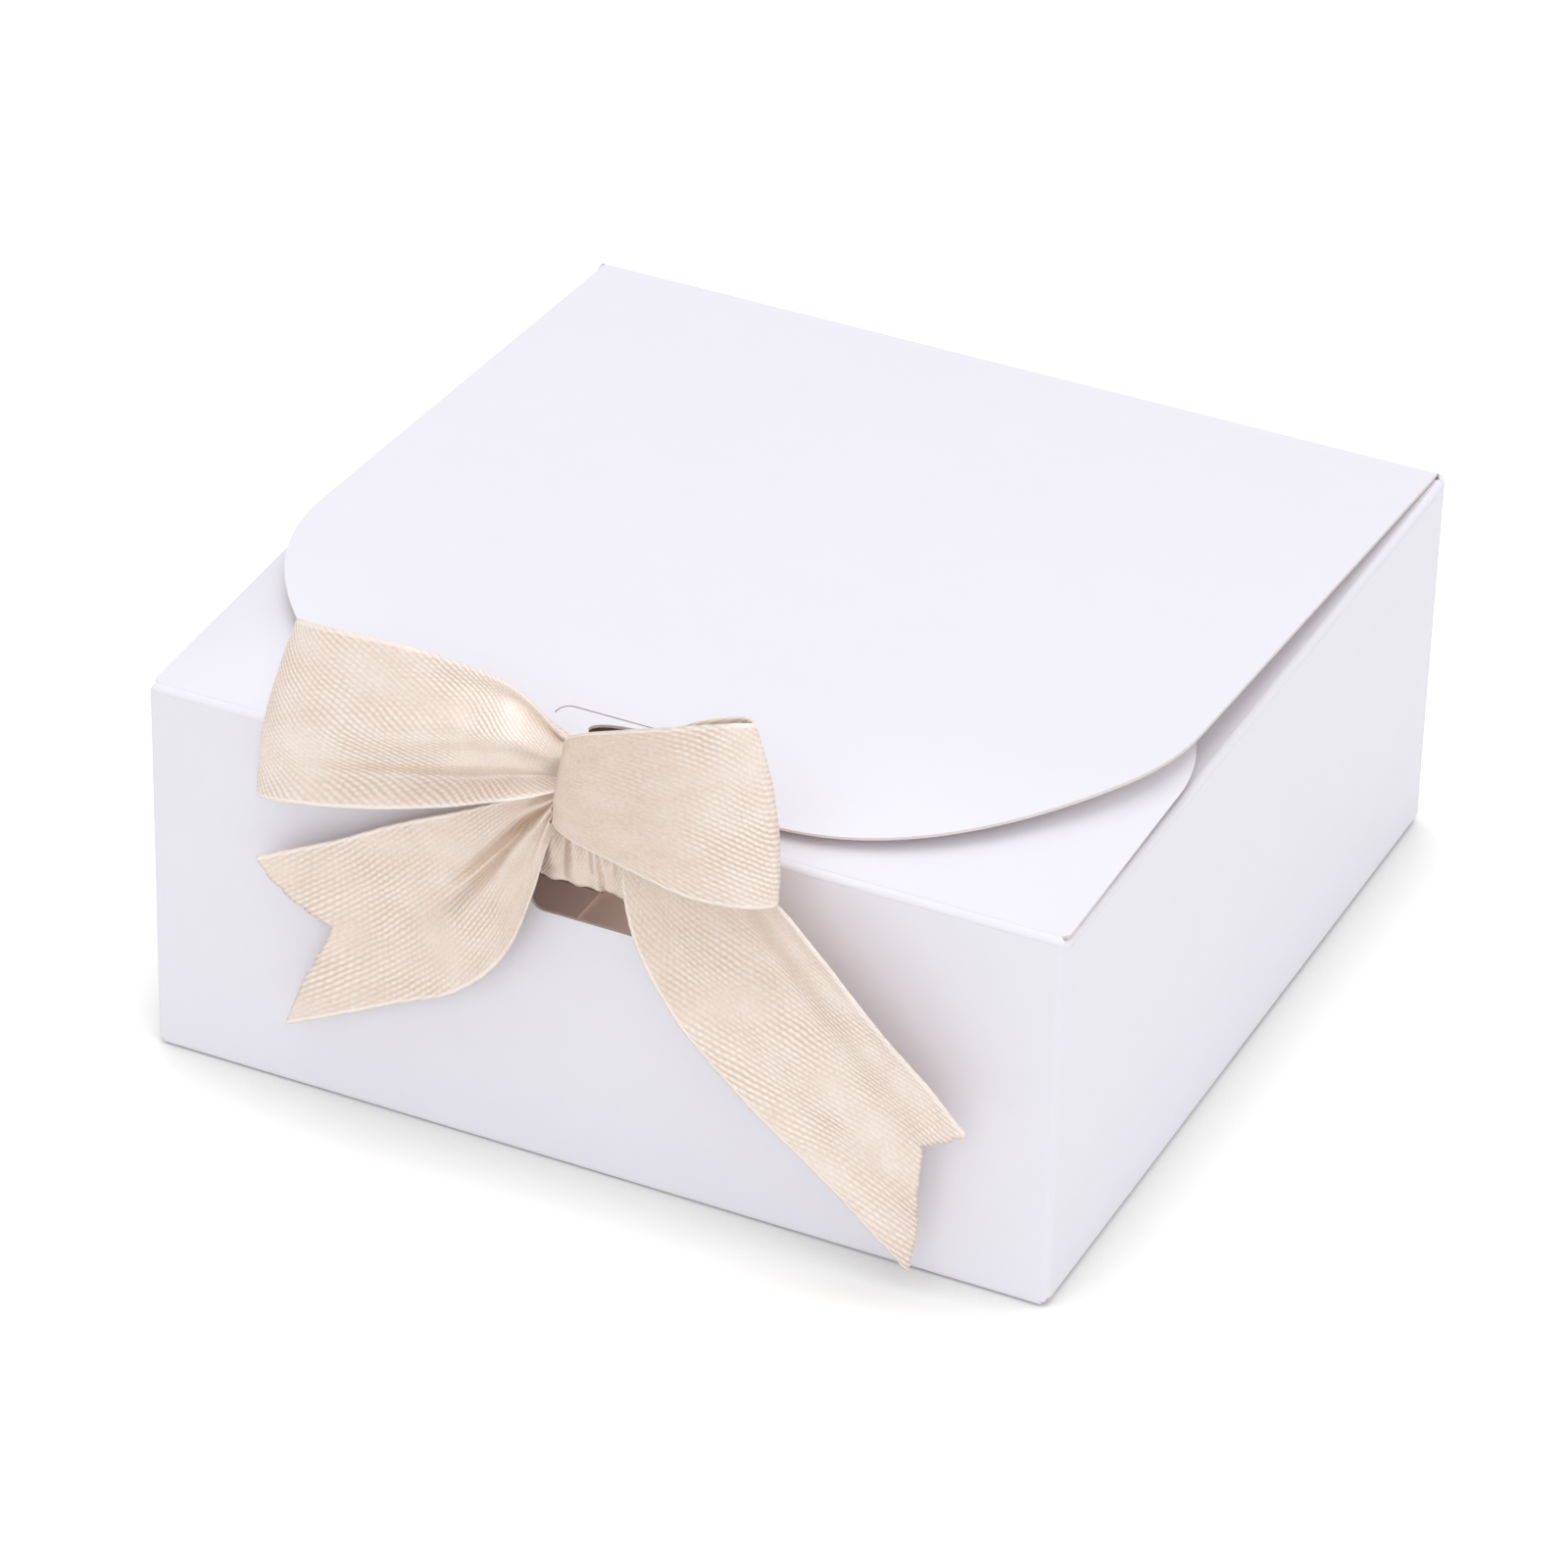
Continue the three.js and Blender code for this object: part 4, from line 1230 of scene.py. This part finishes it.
# %% Right tail
RIGHT_TAIL = [
    [5.9, 1.7, 2.6, 0.2, 9, 2, 0],
    [10.8, 3.4, -0.9, 0.55, 49, -3, 0.4],
    [17, 4.4, -7.6, 0.87, 53, -5, 0.4],
    [24.2, 5.2, -14.8, 0.99, 51, -7, -0.2],
    [32.5, 5.4, -22.6, 0.97, 46, -8, -0.8],
    [40.3, 4.9, -29.8, 0.9, 36, -6, -0.9],
    [49, 4.4, -39, 0.87, 26, -5, -0.7],
]
RIGHT_TAIL_FOLDS = [
    ([0.5, 0.45, 0.4, 0.4, 0.4, 0.4, 0.4], 0.18, [0, 1.6, 2.4, 2.2, 1.6, 1.0, 0.5]),
    ([1.0], 0.14, [0, -0.8, -1.6, -2.2, -2.2, -1.8, -1.2]),
    ([0], 0.06, [0, 0, -0.4, -0.6, -0.6, -0.4, 0]),
]
# Low weave values where it leaves the knot, under the right loop, darken it as painted shade.
lay_ribbon(
    "tail_right", "right_tail", "lid", satin_right_tail, RIGHT_TAIL,
    RIGHT_TAIL_FOLDS, (2, [1.2, 0.3, 0, 0, 0, 0, 0]),
    cut=notched(1 - TAIL_NOTCH / 2, 1 - TAIL_NOTCH * 0.8, 0.33),
    woven_and_shade=[0.2, 0.3, 0.6, 1, 1, 1], steps=TAIL_STEPS,
)

# %% Strands
UPPER_STRAND = [
    [0, -7.2, -3.5, 0.5, 90, 0, 0],
    [0.6, -10.4, -0.4, 0.46, 90, 0, 0],
    [2.4, -11, 2.4, 0.3, 90, 0, 0],
    [3.6, -9.9, 4.4, 0.21, 90, 0, 0],
    [3.2, -6.4, 4.8, 0.24, 90, 0, 0],
    [1.5, -2.85, 5.5, 0.26, 90, 0, 0],
]
LOWER_STRAND = [
    [0, -6.9, -4, 0.5, 90, 0, 0],
    [-0.2, -3.4, -8.6, 0.48, 90, 0, 0],
    [-0.3, -0.7, -10.4, 0.5, 90, 0, 0],
    [-0.3, 0.9, -10.1, 0.5, 90, 0, 0],
    [-0.3, 1.15, -8.2, 0.5, 90, 0, 0],
    [-0.2, 1.2, -4, 0.48, 90, 0, 0],
    [0, 1.4, 1.5, 0.38, 90, 0, 0],
]
LOWER_STRAND_FOLDS = [([0.36, 0.34, 0.4], 0.025, [0, 0, -0.5, -0.7, -0.7, -0.8, 0])]
lay_ribbon(
    "strand_upper", "ribbon_upper_strand", "lid", satin_face, UPPER_STRAND,
    (), (5, [2.0, 2.0, 1.8, 1.7]),
)
# The lower strand's weave value is below 1, which darkens it all as painted shade.
lay_ribbon(
    "strand_lower", "ribbon_lower_strand", "carton", satin_face, LOWER_STRAND,
    LOWER_STRAND_FOLDS, (4, [2.8, 2.6, 0.5, 0.2, 0.2, 1.3, 2.6]), woven_and_shade=[0.6],
)

# %% [markdown]
# ## The knot
#
# The ribbon's middle is wound tight about the crossing. It is a lump more than a sheet, so it is
# turned like a barrel: a profile with a few grooves is spun once round the bow's own axis.

# %% Knot
KNOT_RADIUS = 3.85  # mm, like the knot's other sizes
KNOT_HALF = 3.6
KNOT_TAPER = 0.25  # share of the radius that is lost at the ends
KNOT_PLACE = (1.5, 1.5, 6)  # right, out, up
KNOT_PROFILE_POINTS = 37
KNOT_STEPS = 72
KNOT_GROOVES = 5
GROOVE_DEPTH = 0.22


def make_knot():
    bm = bmesh.new()
    uv_layer = bm.loops.layers.uv.new("UVMap")
    # At 0 the weave's attribute also darkens the whole knot, as painted shade.
    bm.verts.layers.float.new("woven_and_shade")  # stays 0: no lines show where it is wound tight
    profile = []
    for share in np.linspace(-1, 1, KNOT_PROFILE_POINTS):
        barrel = KNOT_RADIUS * (1 - KNOT_TAPER * abs(share) ** 5)
        groove = GROOVE_DEPTH * math.cos(math.pi * KNOT_GROOVES * share)
        profile.append((KNOT_HALF * share, barrel - GROOVE_DEPTH + groove))
    profile = [(profile[0][0], 0), *profile, (profile[-1][0], 0)]
    verts = [bm.verts.new((x, 0, r)) for x, r in profile]
    edges = [bm.edges.new(pair) for pair in zip(verts, verts[1:])]
    bmesh.ops.spin(
        bm, geom=verts + edges, cent=(0, 0, 0), axis=(1, 0, 0), angle=2 * math.pi,
        steps=KNOT_STEPS, use_merge=True,
    )
    bmesh.ops.remove_doubles(bm, verts=bm.verts[:], dist=1e-5)
    bmesh.ops.recalc_face_normals(bm, faces=bm.faces[:])
    for face in bm.faces:
        for loop in face.loops:
            x, y, z = loop.vert.co
            around = math.atan2(y, z) / (2 * math.pi)
            loop[uv_layer].uv = (around, 0.5 + x / KNOT_HALF / 4)
    right, out, up = KNOT_PLACE
    middle = Vector((right, -front_face / MM - out, top_crease / MM + up))
    for vert in bm.verts:
        vert.co = (middle + vert.co) * MM
    piece = add_object("knot", bm, [satin_face])
    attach(piece, "lid")
    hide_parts(KNOT)


make_knot()
print("the knot is", 2 * KNOT_RADIUS, "mm across")

# %% Print the sizes and finish
dressed_low, dressed_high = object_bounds()
dressed = [round((b - a) / MM, 1) for a, b in zip(dressed_low, dressed_high)]
print("the dressed model's box in mm:", dressed)
